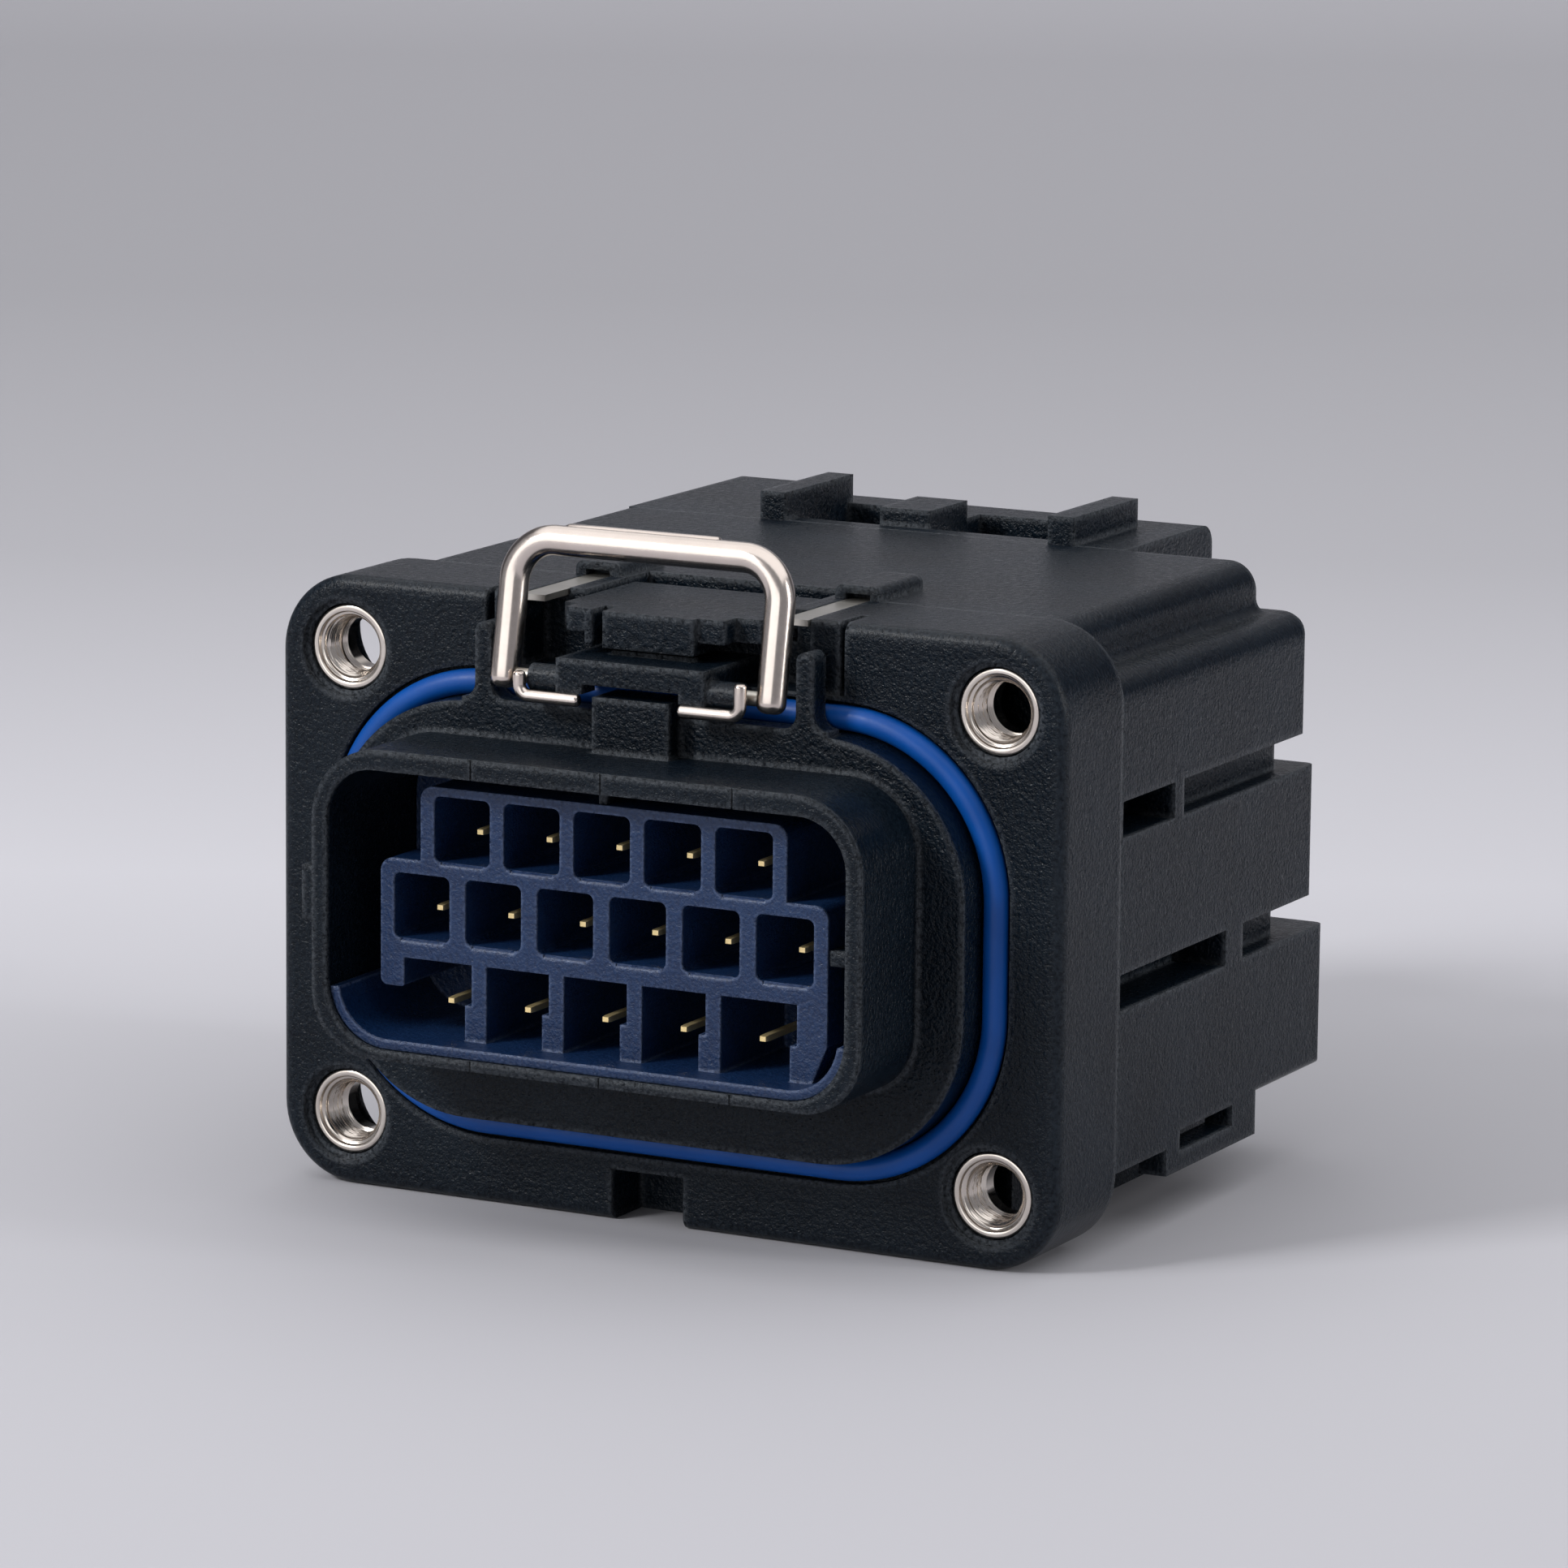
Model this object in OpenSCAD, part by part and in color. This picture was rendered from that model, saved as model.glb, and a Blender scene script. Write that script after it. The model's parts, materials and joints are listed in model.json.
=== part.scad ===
// Panel connector housing: bolted flange with a plug shroud, a contact insert, a wire bail and a rear body.
// X runs across the flange, Y runs back from its front face and Z is up.
// The origin is the centre of the bolt pattern on the flange's front face.

/* [Contact cells] */
// Width of one contact cell
cell_w = 5.05; // [4:0.05:5.4]
// Height of one contact cell
cell_h = 5.3; // [4.4:0.1:5.6]
// Wall between two cells of the middle row
cell_wall = 1.4; // [0.9:0.05:2.4]
// Wall between the top row and the middle row
row_wall = 1.13; // [0.8:0.01:2]
// Wall between the middle row and the bottom row
low_row_wall = 1.5; // [1:0.05:2.4]
// Distance between the contacts of the top row
top_pitch = 6.25; // [6:0.05:7]
// Distance between the contacts of the bottom row
bottom_pitch = 6.95; // [6.2:0.05:7.4]
// Place of the bottom row's middle across X
bottom_x = -0.5; // [-1:0.1:1]
// Radius in the corners of a cell
cell_r = 0.6; // [0.2:0.1:1]
// Height of the middle row above the bolt pattern's centre
middle_row_z = 0.95; // [0:0.05:2]
// Bevel along the lower edge of a cell's mouth
cell_bevel = 0.25; // [0.1:0.05:0.4]

/* [Contact insert] */
// Distance from the flange's front face to the front of the insert
insert_front = 9.8; // [7:0.1:11]
// Wall outside the end cells
insert_side = 1.2; // [0.8:0.1:2.2]
// Wall above the top row
insert_top = 0.7; // [0.5:0.05:1.2]
// Wall above the ends of the middle row
insert_shoulder = 1.1; // [0.8:0.1:1.8]
// Distance from the flange's front face back to the floor of the cells
cell_floor_y = 1; // [0:0.5:3]
// Thickness of the tray along the shroud's floor
tray_t = 0.75; // [0.6:0.05:1.4]
// Distance between the shroud's rim and the front of the tray
tray_setback = 0.5; // [0.3:0.1:1.5]
// Height of the tray's sides above the shroud's floor
tray_side = 4.6; // [3:0.1:7]
// Thickness of a wall between two bottom contacts
bottom_wall = 1.3; // [0.9:0.1:1.8]
// Extra thickness at the foot of that wall
bottom_wall_step = 0.6; // [0.3:0.1:1]
// Height of that foot
bottom_wall_step_h = 2.9; // [2:0.1:4]
// Height of the bottom cells
bottom_h = 6.15; // [5:0.05:7]
// Height of the bottom contacts above the floor of their cells
bottom_pin_h = 2.7; // [1.6:0.05:4]
// Width of the left end wall of the bottom row
left_leg_w = 2.1; // [1.4:0.1:3]
// Length of the left end wall below the middle row
left_leg_h = 2.35; // [1.5:0.05:4]
// Width of the right end wall of the bottom row
right_leg_w = 2.6; // [1.4:0.1:3.5]
// Radius of the insert's outer corners
insert_r = 1.1; // [0.3:0.1:1.3]
// Radius at the foot of the left end wall
leg_r = 0.6; // [0.3:0.1:1]
// Step of the insert's rear lip
lip_step = 1.2; // [0.8:0.1:2]
// Thickness of the insert's rear lip
lip_t = 2; // [1.5:0.1:3]

/* [Contacts] */
// Side of the square contact pin
pin_side = 0.64; // [0.5:0.02:1]
// How far the upper contacts sit below the centre of their cells
pin_drop = 0.5; // [0:0.05:1.2]
// Distance from the front of the insert to the tips of the upper pins
tip_depth = 2.9; // [2:0.1:5]
// How much further forward the bottom pins reach
bottom_tip_lead = 1.2; // [0:0.1:1.8]
// Side of the contact's square body
contact_side = 2; // [1.4:0.1:2.6]
// Length of the contact's body behind the insert
contact_len = 9; // [5:0.5:12]
// Outer radius of the crimp barrel
crimp_r = 1.05; // [0.8:0.05:1.3]
// Thickness of the crimp barrel's wall
crimp_wall = 0.25; // [0.15:0.05:0.4]
// Length of the crimp barrel
crimp_len = 6; // [4:0.5:9]

/* [Plug shroud] */
// Distance from the flange's front face to the shroud's rim
shroud_out = 13; // [11:0.5:20]
// Thickness of the shroud's side walls
shroud_wall = 1.35; // [1:0.05:2.4]
// Thickness of the shroud's upper wall
shroud_top_wall = 1.6; // [1:0.05:2.4]
// Thickness of the shroud's floor
shroud_floor_wall = 0.8; // [0.8:0.05:2]
// Space beside the insert for the plug
plug_gap_side = 3.1; // [2:0.05:4]
// Space above the insert for the plug
plug_gap_top = 1.5; // [1.2:0.05:3]
// Outer radius of the shroud's upper corners
shroud_top_r = 6; // [4:0.1:7]
// Outer radius of the shroud's lower corners
shroud_low_r = 5.1; // [4:0.1:6]
// Inner radius of the shroud's upper corners
mouth_top_r = 4.2; // [3:0.1:5.5]
// Inner radius of the shroud's lower corners
mouth_low_r = 5.2; // [4:0.1:6]
// Height of the right guide rib above the bolt pattern's centre
guide_z = 0.7; // [0:0.05:3]
// Width of the guide rib beside the insert
guide_w = 1.2; // [0.8:0.05:2]
// Width of the guide rib above the insert
top_guide_w = 0.7; // [0.5:0.05:1.5]
// Distance from the rim to the guide ribs
guide_setback = 3.4; // [0.6:0.1:5]
// Width of the fine mould lines across the rim
nick_w = 0.16; // [0.1:0.02:0.3]
// Depth of these mould lines
nick_depth = 0.2; // [0.1:0.05:0.4]
// Distance between the mould lines along the rim
nick_pitch = 11.5; // [8:0.5:14]
// Place of the middle one of the mould lines across X
nick_x = 1.6; // [-3:0.1:3]
// Place of the key rib on the shroud's left side above the bolt pattern's centre
side_key_z = 1.75; // [0:0.05:3]
// Height of that key rib
side_key_h = 4.4; // [3:0.1:6]
// Distance from the rim to that key rib
side_key_setback = 0.6; // [0.3:0.1:2]
// How far that key rib stands out
side_key_out = 1.25; // [0.5:0.05:1.6]

/* [Collar and seal] */
// Height of the collar in front of the flange
collar_out = 3.4; // [2.5:0.1:4]
// Width of the collar beside the shroud
collar_side = 3.9; // [3:0.1:5]
// Distance from the flange's upper edge to the collar
collar_drop = 8.5; // [8.4:0.05:10]
// Distance from the flange's lower edge to the collar
collar_rise = 7.75; // [6:0.05:10]
// Corner radius of the collar
collar_r = 12.4; // [10:0.1:14]
// Thickness of the seal cord
seal_d = 2; // [1.5:0.1:2.6]
// How far the seal stands out of the flange
seal_proud = 0.7; // [0.3:0.1:1]
// Extra width of the seal groove
seal_groove_gap = 0.3; // [0.1:0.05:0.6]

/* [Flange] */
// Distance between bolts across X
bolt_dx = 58; // [56:0.5:66]
// Distance between bolts along Z
bolt_dz = 38.2; // [36:0.1:46]
// Distance from a bolt to the flange's side
bolt_edge_x = 6; // [5:0.1:9]
// Distance from a bolt to the flange's top or bottom
bolt_edge_z = 5.9; // [5:0.1:9]
// Thickness of the flange
flange_t = 10.5; // [9:0.5:14]
// Corner radius of the flange
flange_r = 6.4; // [4:0.1:9]
// Rounding of the flange's front edge
flange_edge_r = 1; // [0.4:0.1:1.6]
// Outer radius of a threaded bush
bush_r = 3.5; // [3:0.05:3.8]
// Radius of the thread's core in a bush
bush_bore_r = 2.15; // [1.6:0.05:2.6]
// Length of a bush
bush_len = 5.4; // [4:0.1:8]
// Width of the open ring round a bush
bush_ring_w = 0.45; // [0.2:0.05:0.8]
// Depth of the open ring round a bush
bush_ring_depth = 0.6; // [0.3:0.1:1.5]
// Radius of the relief behind a bush
bush_relief_r = 4.8; // [4:0.1:5.2]
// Place of the notch in the flange's lower edge across X
drain_x = -1.1; // [-4:0.1:4]
// Width of the notch in the flange's lower edge
drain_w = 6.5; // [5:0.1:9]
// Height of the notch in the flange's lower edge
drain_h = 4.2; // [3:0.1:4.6]
// Depth of the notch in the flange's lower edge
drain_depth = 5; // [2:0.5:7]

/* [Latch] */
// Width of the notch in the flange's upper edge
notch_w = 32; // [30:0.5:36]
// Height of that notch
notch_h = 5.8; // [5:0.1:6]
// Depth of the notch behind the flange's front face
notch_depth = 4; // [3:0.1:6]
// Distance between the two latch ears
ear_gap = 27.1; // [26.8:0.1:29]
// Width of a latch ear
ear_w = 1.45; // [1:0.05:2]
// Distance from the flange's upper edge down to the tops of the ears
ear_drop = 2; // [1:0.1:4]
// Thickness of the ears
ear_t = 2.2; // [1.5:0.1:2.4]
// Radius at the foot of the ears
ear_foot_r = 1.2; // [0.5:0.1:1.4]
// Height of the band between the ears above the collar
band_h = 0.4; // [0.1:0.05:0.6]
// Distance between the pillars beside the spring strips
pillar_gap = 25.6; // [25.6:0.1:28]
// Width of a pillar
pillar_w = 2.6; // [1.5:0.1:2.9]
// Distance from the flange's front face to a pillar
pillar_setback = 0.4; // [0.3:0.1:1]
// Width of the coding key
key_w = 6.8; // [5:0.1:8]
// Length of the coding key in front of the collar
key_out = 1.9; // [1:0.1:3]
// Height of the coding key above the collar
key_rise = 1.75; // [0.5:0.05:1.85]
// Width of the hinge block
hinge_w = 13.2; // [12:0.1:14]
// Distance from the flange's front face to the front of the hinge block
hinge_out = 5.4; // [5.2:0.1:6]
// Height of the hinge block above the notch's floor
hinge_h = 1.9; // [1.4:0.05:2]
// Width of a skirt of the hinge block
skirt_w = 2.3; // [1.5:0.1:3]
// Height of a skirt below the notch's floor
skirt_h = 0.8; // [0.5:0.05:1]
// Depth of a skirt
skirt_t = 2.2; // [1.6:0.1:2.6]
// Distance between the seal's groove and the hinge block
hinge_seal_gap = 0.3; // [0.2:0.05:0.5]
// Width of the ridge on top of the hinge block
ridge_w = 7.4; // [4:0.1:9]
// Depth of that ridge
ridge_t = 0.6; // [0.3:0.1:1]
// Height of that ridge
ridge_h = 0.3; // [0.1:0.05:0.35]
// Outer radius of the pivot bosses
boss_r = 1.1; // [1:0.05:1.3]
// Distance between the outer ends of the pivot bosses
boss_span = 18.6; // [17:0.1:18.8]

/* [Bail] */
// Distance between the bail's legs, centre to centre
bail_w = 23.6; // [23:0.1:24.4]
// Thickness of the bail's wire
bail_d = 2.4; // [2:0.1:2.5]
// Distance from the pivot to the centre of the bail's bar
bail_reach = 11.05; // [10.5:0.05:13]
// Radius of the bail's bends, at the centre of the wire
bail_bend_r = 3.4; // [2.4:0.1:4.5]
// Angle that the bail leans back
bail_lean = 10; // [0:1:14]
// Radius of the bail's pivot ends
pivot_r = 0.6; // [0.5:0.05:0.7]
// Distance from the flange's front face to the pivot
pivot_out = 4.1; // [4:0.05:4.4]
// Height of the pivot above the floor of the notch
pivot_rise = 0; // [-0.2:0.05:0.2]
// Length of a leg below the pivot
bail_end = 1.1; // [0.9:0.05:1.4]
// Bevel at the lower end of a leg
bail_end_bevel = 0.35; // [0.1:0.05:0.5]
// Length of a pivot end inside its boss
pivot_in = 1.9; // [1:0.1:2.2]
// Angle of the flat on the bail's bar
bail_flat_angle = 35; // [0:5:60]
// Length of the flat on the bail's bar
bail_flat_w = 12; // [6:0.5:15]
// Depth of the flat on the bail's bar
bail_flat_depth = 0.3; // [0.1:0.05:0.5]
// Thickness of the clip wire
clip_d = 0.9; // [0.6:0.05:1]
// Height of the clip's upright arm
clip_h = 3.3; // [2:0.1:5]
// Clearance between a clip and the moving bail
clip_clear = 0.35; // [0.2:0.05:0.5]
// Distance between the inner ends of the clips
clip_gap = 8.8; // [8.6:0.1:10]

/* [Lock slide] */
// Width of the slide's nose
nose_w = 8.1; // [7:0.1:8.6]
// Distance from the flange's front face to the nose
nose_out = 2.5; // [2:0.1:3]
// Distance from the flange's upper edge down to the slide's top
slide_drop = 0.4; // [0.2:0.05:0.8]
// Right end of the slide's right lug
lug_right_x = 6.5; // [5.5:0.1:8]
// Height of the lugs
lug_h = 1.9; // [1.2:0.1:2.4]
// How far the lugs stand back from the nose
lug_setback = 0.6; // [0.3:0.1:1]
// Left end of the slide's left lug
lug_left_x = -7.6; // [-8.5:0.1:-6.5]
// Left end of the slide's post
post_x = -5.8; // [-6.2:0.1:-5.4]
// Width of the slide's post
post_w = 0.65; // [0.4:0.05:1]
// Width of the slide's plate
slide_w = 17.6; // [15:0.1:18.4]
// Length of the slide's plate behind the flange's front face
slide_len = 11.5; // [9:0.1:14]
// Thickness of the slide's plate
slide_t = 1.9; // [1.5:0.1:2]
// Width of a runner on the slide's sides
runner_w = 0.7; // [0.5:0.1:0.8]
// Thickness of a runner
runner_t = 0.6; // [0.4:0.1:0.8]
// Travel of the slide
slide_travel = 2.6; // [1:0.1:4]
// Distance between the spring strips, centre to centre
strip_gap = 23.4; // [22.8:0.1:25]
// Width of a spring strip
strip_w = 2.1; // [1.4:0.1:2.4]
// Thickness of a spring strip
strip_t = 0.5; // [0.3:0.05:0.7]
// Length of a spring strip
strip_len = 12; // [9:0.5:14]
// Width of the bridge over the end of a spring strip
bridge_w = 4; // [3:0.1:4.2]
// Height of that bridge above the flange's upper edge
bridge_h = 1.1; // [0.8:0.1:1.5]
// Length of that bridge
bridge_len = 7.5; // [5:0.5:12]
// Radius along the upper edges of that bridge
bridge_r = 0.7; // [0.3:0.1:0.8]
// How far the bridge covers the strip
bridge_cover = 1.5; // [0.5:0.1:2]
// Height of the opening under the bridge
bridge_gap = 0.45; // [0.2:0.05:0.5]

/* [Rear body] */
// Length of the body's core behind the flange
body_len = 33.5; // [30:0.5:50]
// Right side of the body's top
body_right_x = 31.1; // [28:0.1:32]
// Left side of the body's top
body_left_x = -28.7; // [-32:0.1:-28]
// Radius of the shoulders
shoulder_r = 2.4; // [1:0.1:3]
// Radius of the hollow below the shoulders
shoulder_hollow_r = 1.2; // [0.4:0.1:1.6]
// Distance from the body's top down to the lobes
lobe_drop = 4.1; // [3.7:0.1:7]
// Distance from the flange's lower edge up to the lobes
lobe_rise = 7.4; // [7:0.1:9]
// Radius along the lower edges of the lobes
lobe_edge_r = 0.8; // [0.3:0.1:1.5]
// Radius at the rear edges of the lobes
lobe_back_r = 0.9; // [0.3:0.1:1.8]
// Lower edge of the upper groove
groove_a_z = 8.1; // [6:0.1:10]
// Lower edge of the lower groove
groove_b_z = -5.7; // [-8:0.1:-3]
// Height of the grooves
groove_h = 2.9; // [2:0.1:4]
// Depth of the grooves
groove_depth = 2; // [1:0.1:3]
// Length of the open pocket in the upper groove
pocket_a_len = 9.9; // [6:0.1:14]
// Length of the open pocket in the lower groove
pocket_b_len = 20.2; // [14:0.1:26]
// Depth of these pockets
pocket_depth = 4.5; // [3:0.1:6]
// Width of the rib behind the upper pocket
rib_a_w = 1.7; // [1:0.1:3]
// Width of the rib behind the lower pocket
rib_b_w = 3.3; // [1:0.1:5]
// Thickness of the lobes
lobe_t = 7; // [5:0.1:8]
// How far the upper lobe reaches past the core
lobe_a_past = 1.9; // [0:0.1:6]
// How far the middle lobe reaches past the core
lobe_b_past = 3.9; // [0:0.1:8]
// How far the lower lobe reaches past the core
lobe_c_past = 6.4; // [0:0.1:10]
// Width of the hollow in a lobe
lobe_hollow_w = 2.8; // [1.5:0.1:3.5]
// Depth of the hollow in a lobe
lobe_hollow_len = 14; // [6:0.5:20]
// Wall round the hollow in a lobe
lobe_wall = 2; // [1.5:0.1:2.5]
// Free space behind the flange at the left bolts
bolt_access = 5.5; // [4:0.5:9]
// Thickness of the core's walls
body_wall = 3; // [2.4:0.1:4]
// Thickness of the wall that clamps the insert
clamp_wall = 2.2; // [1.5:0.1:3]
// Height of the side skirts below the lobes
side_h = 3.3; // [2:0.1:4]
// Length of the side skirts behind the flange
side_len = 26.7; // [20:0.1:32]
// Thickness of the side skirts
side_t = 2.4; // [1.6:0.1:3.5]
// Length of the open notch in a side skirt
side_notch_len = 9.5; // [5:0.1:12]
// Height of the open notch in a side skirt
side_notch_h = 2.2; // [1:0.1:3]
// Start of the window in a side skirt
side_window_y = 12; // [11:0.1:13]
// Length of the window in a side skirt
side_window_len = 10.1; // [5:0.1:11]
// Thickness of the bar below the window
side_bar = 1.6; // [0.8:0.1:1.8]
// Half width of the foot
foot_x = 26; // [24:0.1:27]
// How far the foot reaches past the core
foot_past = 6; // [2:0.1:8]
// Thickness of the foot's walls
foot_wall = 2.4; // [1.6:0.1:3.5]

/* [Wire entry] */
// Thickness of the wire seal
mat_t = 5; // [3:0.5:7]
// Thickness of the rear retainer
retainer_t = 3.5; // [2:0.5:5]
// Distance from the retainer to the core's rear face
retainer_setback = 0.5; // [0:0.1:1.5]
// Step that the wire seal sits on
mat_step = 0.8; // [0.5:0.1:1.2]
// Radius of a wire entry in the retainer
entry_r = 1.5; // [1.2:0.1:1.7]
// Radius of the raised ring round a wire entry
ring_r = 2.1; // [1.9:0.1:2.4]
// Height of that ring
ring_h = 0.8; // [0.3:0.1:1.5]
// Radius of a wire entry in the seal
mat_hole_r = 1.2; // [0.8:0.1:1.4]

/* [Rear hood] */
// Left side of the hood
hood_left_x = -27.2; // [-28:0.1:-24]
// Right side of the hood
hood_right_x = 19.3; // [18:0.1:26]
// Length of the hood
hood_len = 17.2; // [15:0.1:30]
// How far the hood's left part reaches past the rest
hood_left_past = 5; // [2:0.5:8]
// Width of that left part
hood_left_w = 10; // [6:0.5:12]
// Thickness of the hood's walls
hood_wall = 2.4; // [1.8:0.1:3]
// Height of the hood's sides
hood_side_h = 18; // [10:0.5:30]
// Radius at the hood's upper rear edge
hood_r = 1.8; // [0.5:0.1:2.3]
// Distance from the hood's centre line to a guide rib
rail_x = 13.4; // [11:0.1:15]
// Width of a guide rib
rail_w = 2.4; // [1.6:0.1:3.5]
// Height of a guide rib
rail_h = 2.35; // [1.5:0.05:4]
// Length of a guide rib
rail_len = 12.4; // [8:0.1:14]
// Width of the middle block
block_w = 4.7; // [3:0.1:7]
// Place of the middle block across X
block_x = -2; // [-4:0.1:2]
// Height of the middle block
block_h = 1.5; // [0.8:0.1:3]
// Length of the middle block
block_len = 7; // [4:0.5:9]
// Length of the open windows in the hood
hood_window_len = 9.5; // [6:0.5:11]
// Width of the bar between the body and the windows
hood_bar = 2; // [1:0.1:4]
// Distance from the hood's sides to its pegs
peg_in = 4; // [3:0.5:8]
// Radius of the hood's pegs
peg_r = 0.8; // [0.5:0.05:1]
// Length of the hood's pegs
peg_len = 4; // [2:0.5:6]

/* [Clearances] */
// Clearance of pieces that are fixed together
fit_gap = 0.05; // [0.02:0.01:0.1]
// Clearance round a turning pivot
pivot_gap = 0.05; // [0.03:0.01:0.1]
// Clearance round the moving slide
slide_gap = 0.3; // [0.2:0.05:0.4]

/* [Hidden] */
$fn = 64;
over = 1;
fine_r = 0.2;
cell_pitch = cell_w + cell_wall;
row_pitch = cell_h + row_wall;
upper_count = 5;
middle_count = 6;
lower_count = 5;
rows = [
    ["a", upper_count, top_pitch, 0],
    ["b", middle_count, cell_pitch, 0],
    ["c", lower_count, bottom_pitch, bottom_x]
];
flange_x = bolt_dx / 2 + bolt_edge_x;
flange_z = bolt_dz / 2 + bolt_edge_z;
flange_back = flange_t;
ground_z = -flange_z;

top_row_z = middle_row_z + row_pitch;
insert_top_z = top_row_z + cell_h / 2 + insert_top;
shoulder_z = middle_row_z + cell_h / 2 + insert_shoulder;
bottom_ceiling_z = middle_row_z - cell_h / 2 - low_row_wall;
shroud_floor_z = bottom_ceiling_z - bottom_h;
bottom_row_z = shroud_floor_z + bottom_pin_h;
top_row_x = (upper_count - 1) * top_pitch / 2 + cell_w / 2 + insert_side;
insert_x = (middle_count - 1) * cell_pitch / 2 + cell_w / 2 + insert_side;

shroud_in_x = insert_x + plug_gap_side;
shroud_x = shroud_in_x + shroud_wall;
shroud_in_top_z = insert_top_z + plug_gap_top;
shroud_top_z = shroud_in_top_z + shroud_top_wall;
shroud_in_low_z = shroud_floor_z - tray_t - fit_gap;
shroud_low_z = shroud_in_low_z - shroud_floor_wall;

collar_x = shroud_x + collar_side;
collar_hi_z = flange_z - collar_drop;
collar_lo_z = ground_z + collar_rise;
collar_mid_z = (collar_hi_z + collar_lo_z) / 2;
collar_half_z = (collar_hi_z - collar_lo_z) / 2;
seal_path = seal_d / 2 + fit_gap;
seal_x = collar_x + seal_path;
seal_half_z = collar_half_z + seal_path;
seal_bend_r = collar_r + seal_path;
seal_y = seal_d / 2 - seal_proud;

band_z = collar_hi_z + band_h;
ear_x = ear_gap / 2;
ear_z = flange_z - ear_drop;
notch_floor_z = flange_z - notch_h;
pivot_z = notch_floor_z + pivot_rise;
boss_end_x = boss_span / 2;
hinge_x = hinge_w / 2;
hinge_top_z = notch_floor_z + hinge_h;
hinge_back_y = -seal_proud - hinge_seal_gap;
skirt_low_z = notch_floor_z - skirt_h;
pivot_from_x = boss_end_x - pivot_in;
clip_x = bail_w / 2 - bail_d / 2 - clip_clear - clip_d / 2;
clip_y = -pivot_out - pivot_r - clip_clear - clip_d / 2;
clip_z = skirt_low_z - clip_d / 2 - fit_gap;

slide_top_z = flange_z - slide_drop;
slide_low_z = slide_top_z - slide_t;
nose_low_z = hinge_top_z + ridge_h + slide_gap;
slide_front_y = notch_depth - slide_gap - slide_travel;
strip_z = flange_z - strip_t - fit_gap;
strip_y = pillar_setback - clip_clear;
strip_end_y = strip_y + strip_len;

core_back = flange_back + body_len;
retainer_back = core_back - retainer_setback;
mat_back = retainer_back - retainer_t;
mat_front = mat_back - mat_t;
lobe_in_x = flange_x - lobe_t;
lobe_top_z = flange_z - lobe_drop;
lobe_low_z = ground_z + lobe_rise;
core_x = lobe_in_x - body_wall;
core_hi_z = flange_z - body_wall;
core_lo_z = lobe_low_z + body_wall;
foot_back = core_back + foot_past;
side_low_z = lobe_low_z - side_h;
contact_back = flange_back + contact_len;

// Solid between two Y planes whose section is drawn as X and Z
module along_y(from, to) {
    translate([0, to, 0])
        rotate([90, 0, 0])
            linear_extrude(to - from)
                children();
}

// Round bar along X
module bar_x(from, to, r) {
    translate([from, 0, 0])
        rotate([0, 90, 0])
            cylinder(r = r, h = to - from);
}

// Box given by its two corners
module box(low, high) {
    translate(low)
        cube(high - low);
}

function unit(v) = v / norm(v);
function bend_half(a, b, c) = acos(unit(a - b) * unit(c - b)) / 2;
function bend_start(a, b, c, r) = b + unit(a - b) * r / tan(bend_half(a, b, c));
function bend_centre(a, b, c, r) = b + unit(unit(a - b) + unit(c - b)) * r / sin(bend_half(a, b, c));

// Convex outline whose corner i is rounded with radius r[i]
module soft_outline(p, r) {
    n = len(p);
    polygon([
        for (i = [0:n - 1])
            for (end = [0, 1])
                let (a = p[(i + n - 1) % n], c = p[(i + 1) % n])
                    end == 0 ? bend_start(a, p[i], c, r[i]) : bend_start(c, p[i], a, r[i])
    ]);
    for (i = [0:n - 1])
        translate(bend_centre(p[(i + n - 1) % n], p[i], p[(i + 1) % n], r[i]))
            circle(r[i]);
}

// Corners of a rectangle, in order
function rect(x, low, high) = [[-x, low], [x, low], [x, high], [-x, high]];

// Rectangle with one radius at its corners
module soft_rect(x, low_z, high_z, r) {
    soft_outline(rect(x, low_z, high_z), [r, r, r, r]);
}

// Both sides of the mirror plane X = 0
module both_sides() {
    children();
    mirror([1, 0, 0])
        children();
}

// The four bolt positions
module at_bolts() {
    for (sx = [-1, 1])
        for (sz = [-1, 1])
            translate([sx * bolt_dx / 2, 0, sz * bolt_dz / 2])
                children();
}

// Rectangle with one radius at its lower corners and another at its upper ones
module mouth_rect(x, low_z, high_z, low_r, top_r) {
    soft_outline(rect(x, low_z, high_z), [low_r, low_r, top_r, top_r]);
}

// Outer section of the shroud
module shroud_section() {
    mouth_rect(shroud_x, shroud_low_z, shroud_top_z, shroud_low_r, shroud_top_r);
}

// Section of the shroud's mouth, grown outwards
module mouth_section(grow) {
    mouth_rect(
        shroud_in_x + grow,
        shroud_in_low_z - grow,
        shroud_in_top_z + grow,
        mouth_low_r + grow,
        mouth_top_r + grow
    );
}

// Section of the collar, grown outwards
module collar_outline(grow) {
    soft_rect(collar_x + grow, collar_lo_z - grow, collar_hi_z + grow, collar_r + grow);
}

// Plate with a rounded front edge
module flange_plate() {
    r = flange_edge_r;
    x = flange_x - r;
    z = flange_z - r;
    along_y(r, flange_t)
        soft_rect(flange_x, -flange_z, flange_z, flange_r);
    along_y(0, flange_t)
        soft_rect(x, -z, z, flange_r - r);
    for (sz = [-1, 1])
        translate([0, r, sz * z])
            bar_x(-flange_x + flange_r, flange_x - flange_r, r);
    for (sx = [-1, 1])
        translate([sx * x, r, -flange_z + flange_r])
            cylinder(r = r, h = 2 * (flange_z - flange_r));
    for (sx = [-1, 1])
        for (sz = [-1, 1])
            translate([sx * (flange_x - flange_r), r, sz * (flange_z - flange_r)])
                rotate([90, 0, 0])
                    rotate_extrude()
                        translate([flange_r - r, 0])
                            circle(r);
}

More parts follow.
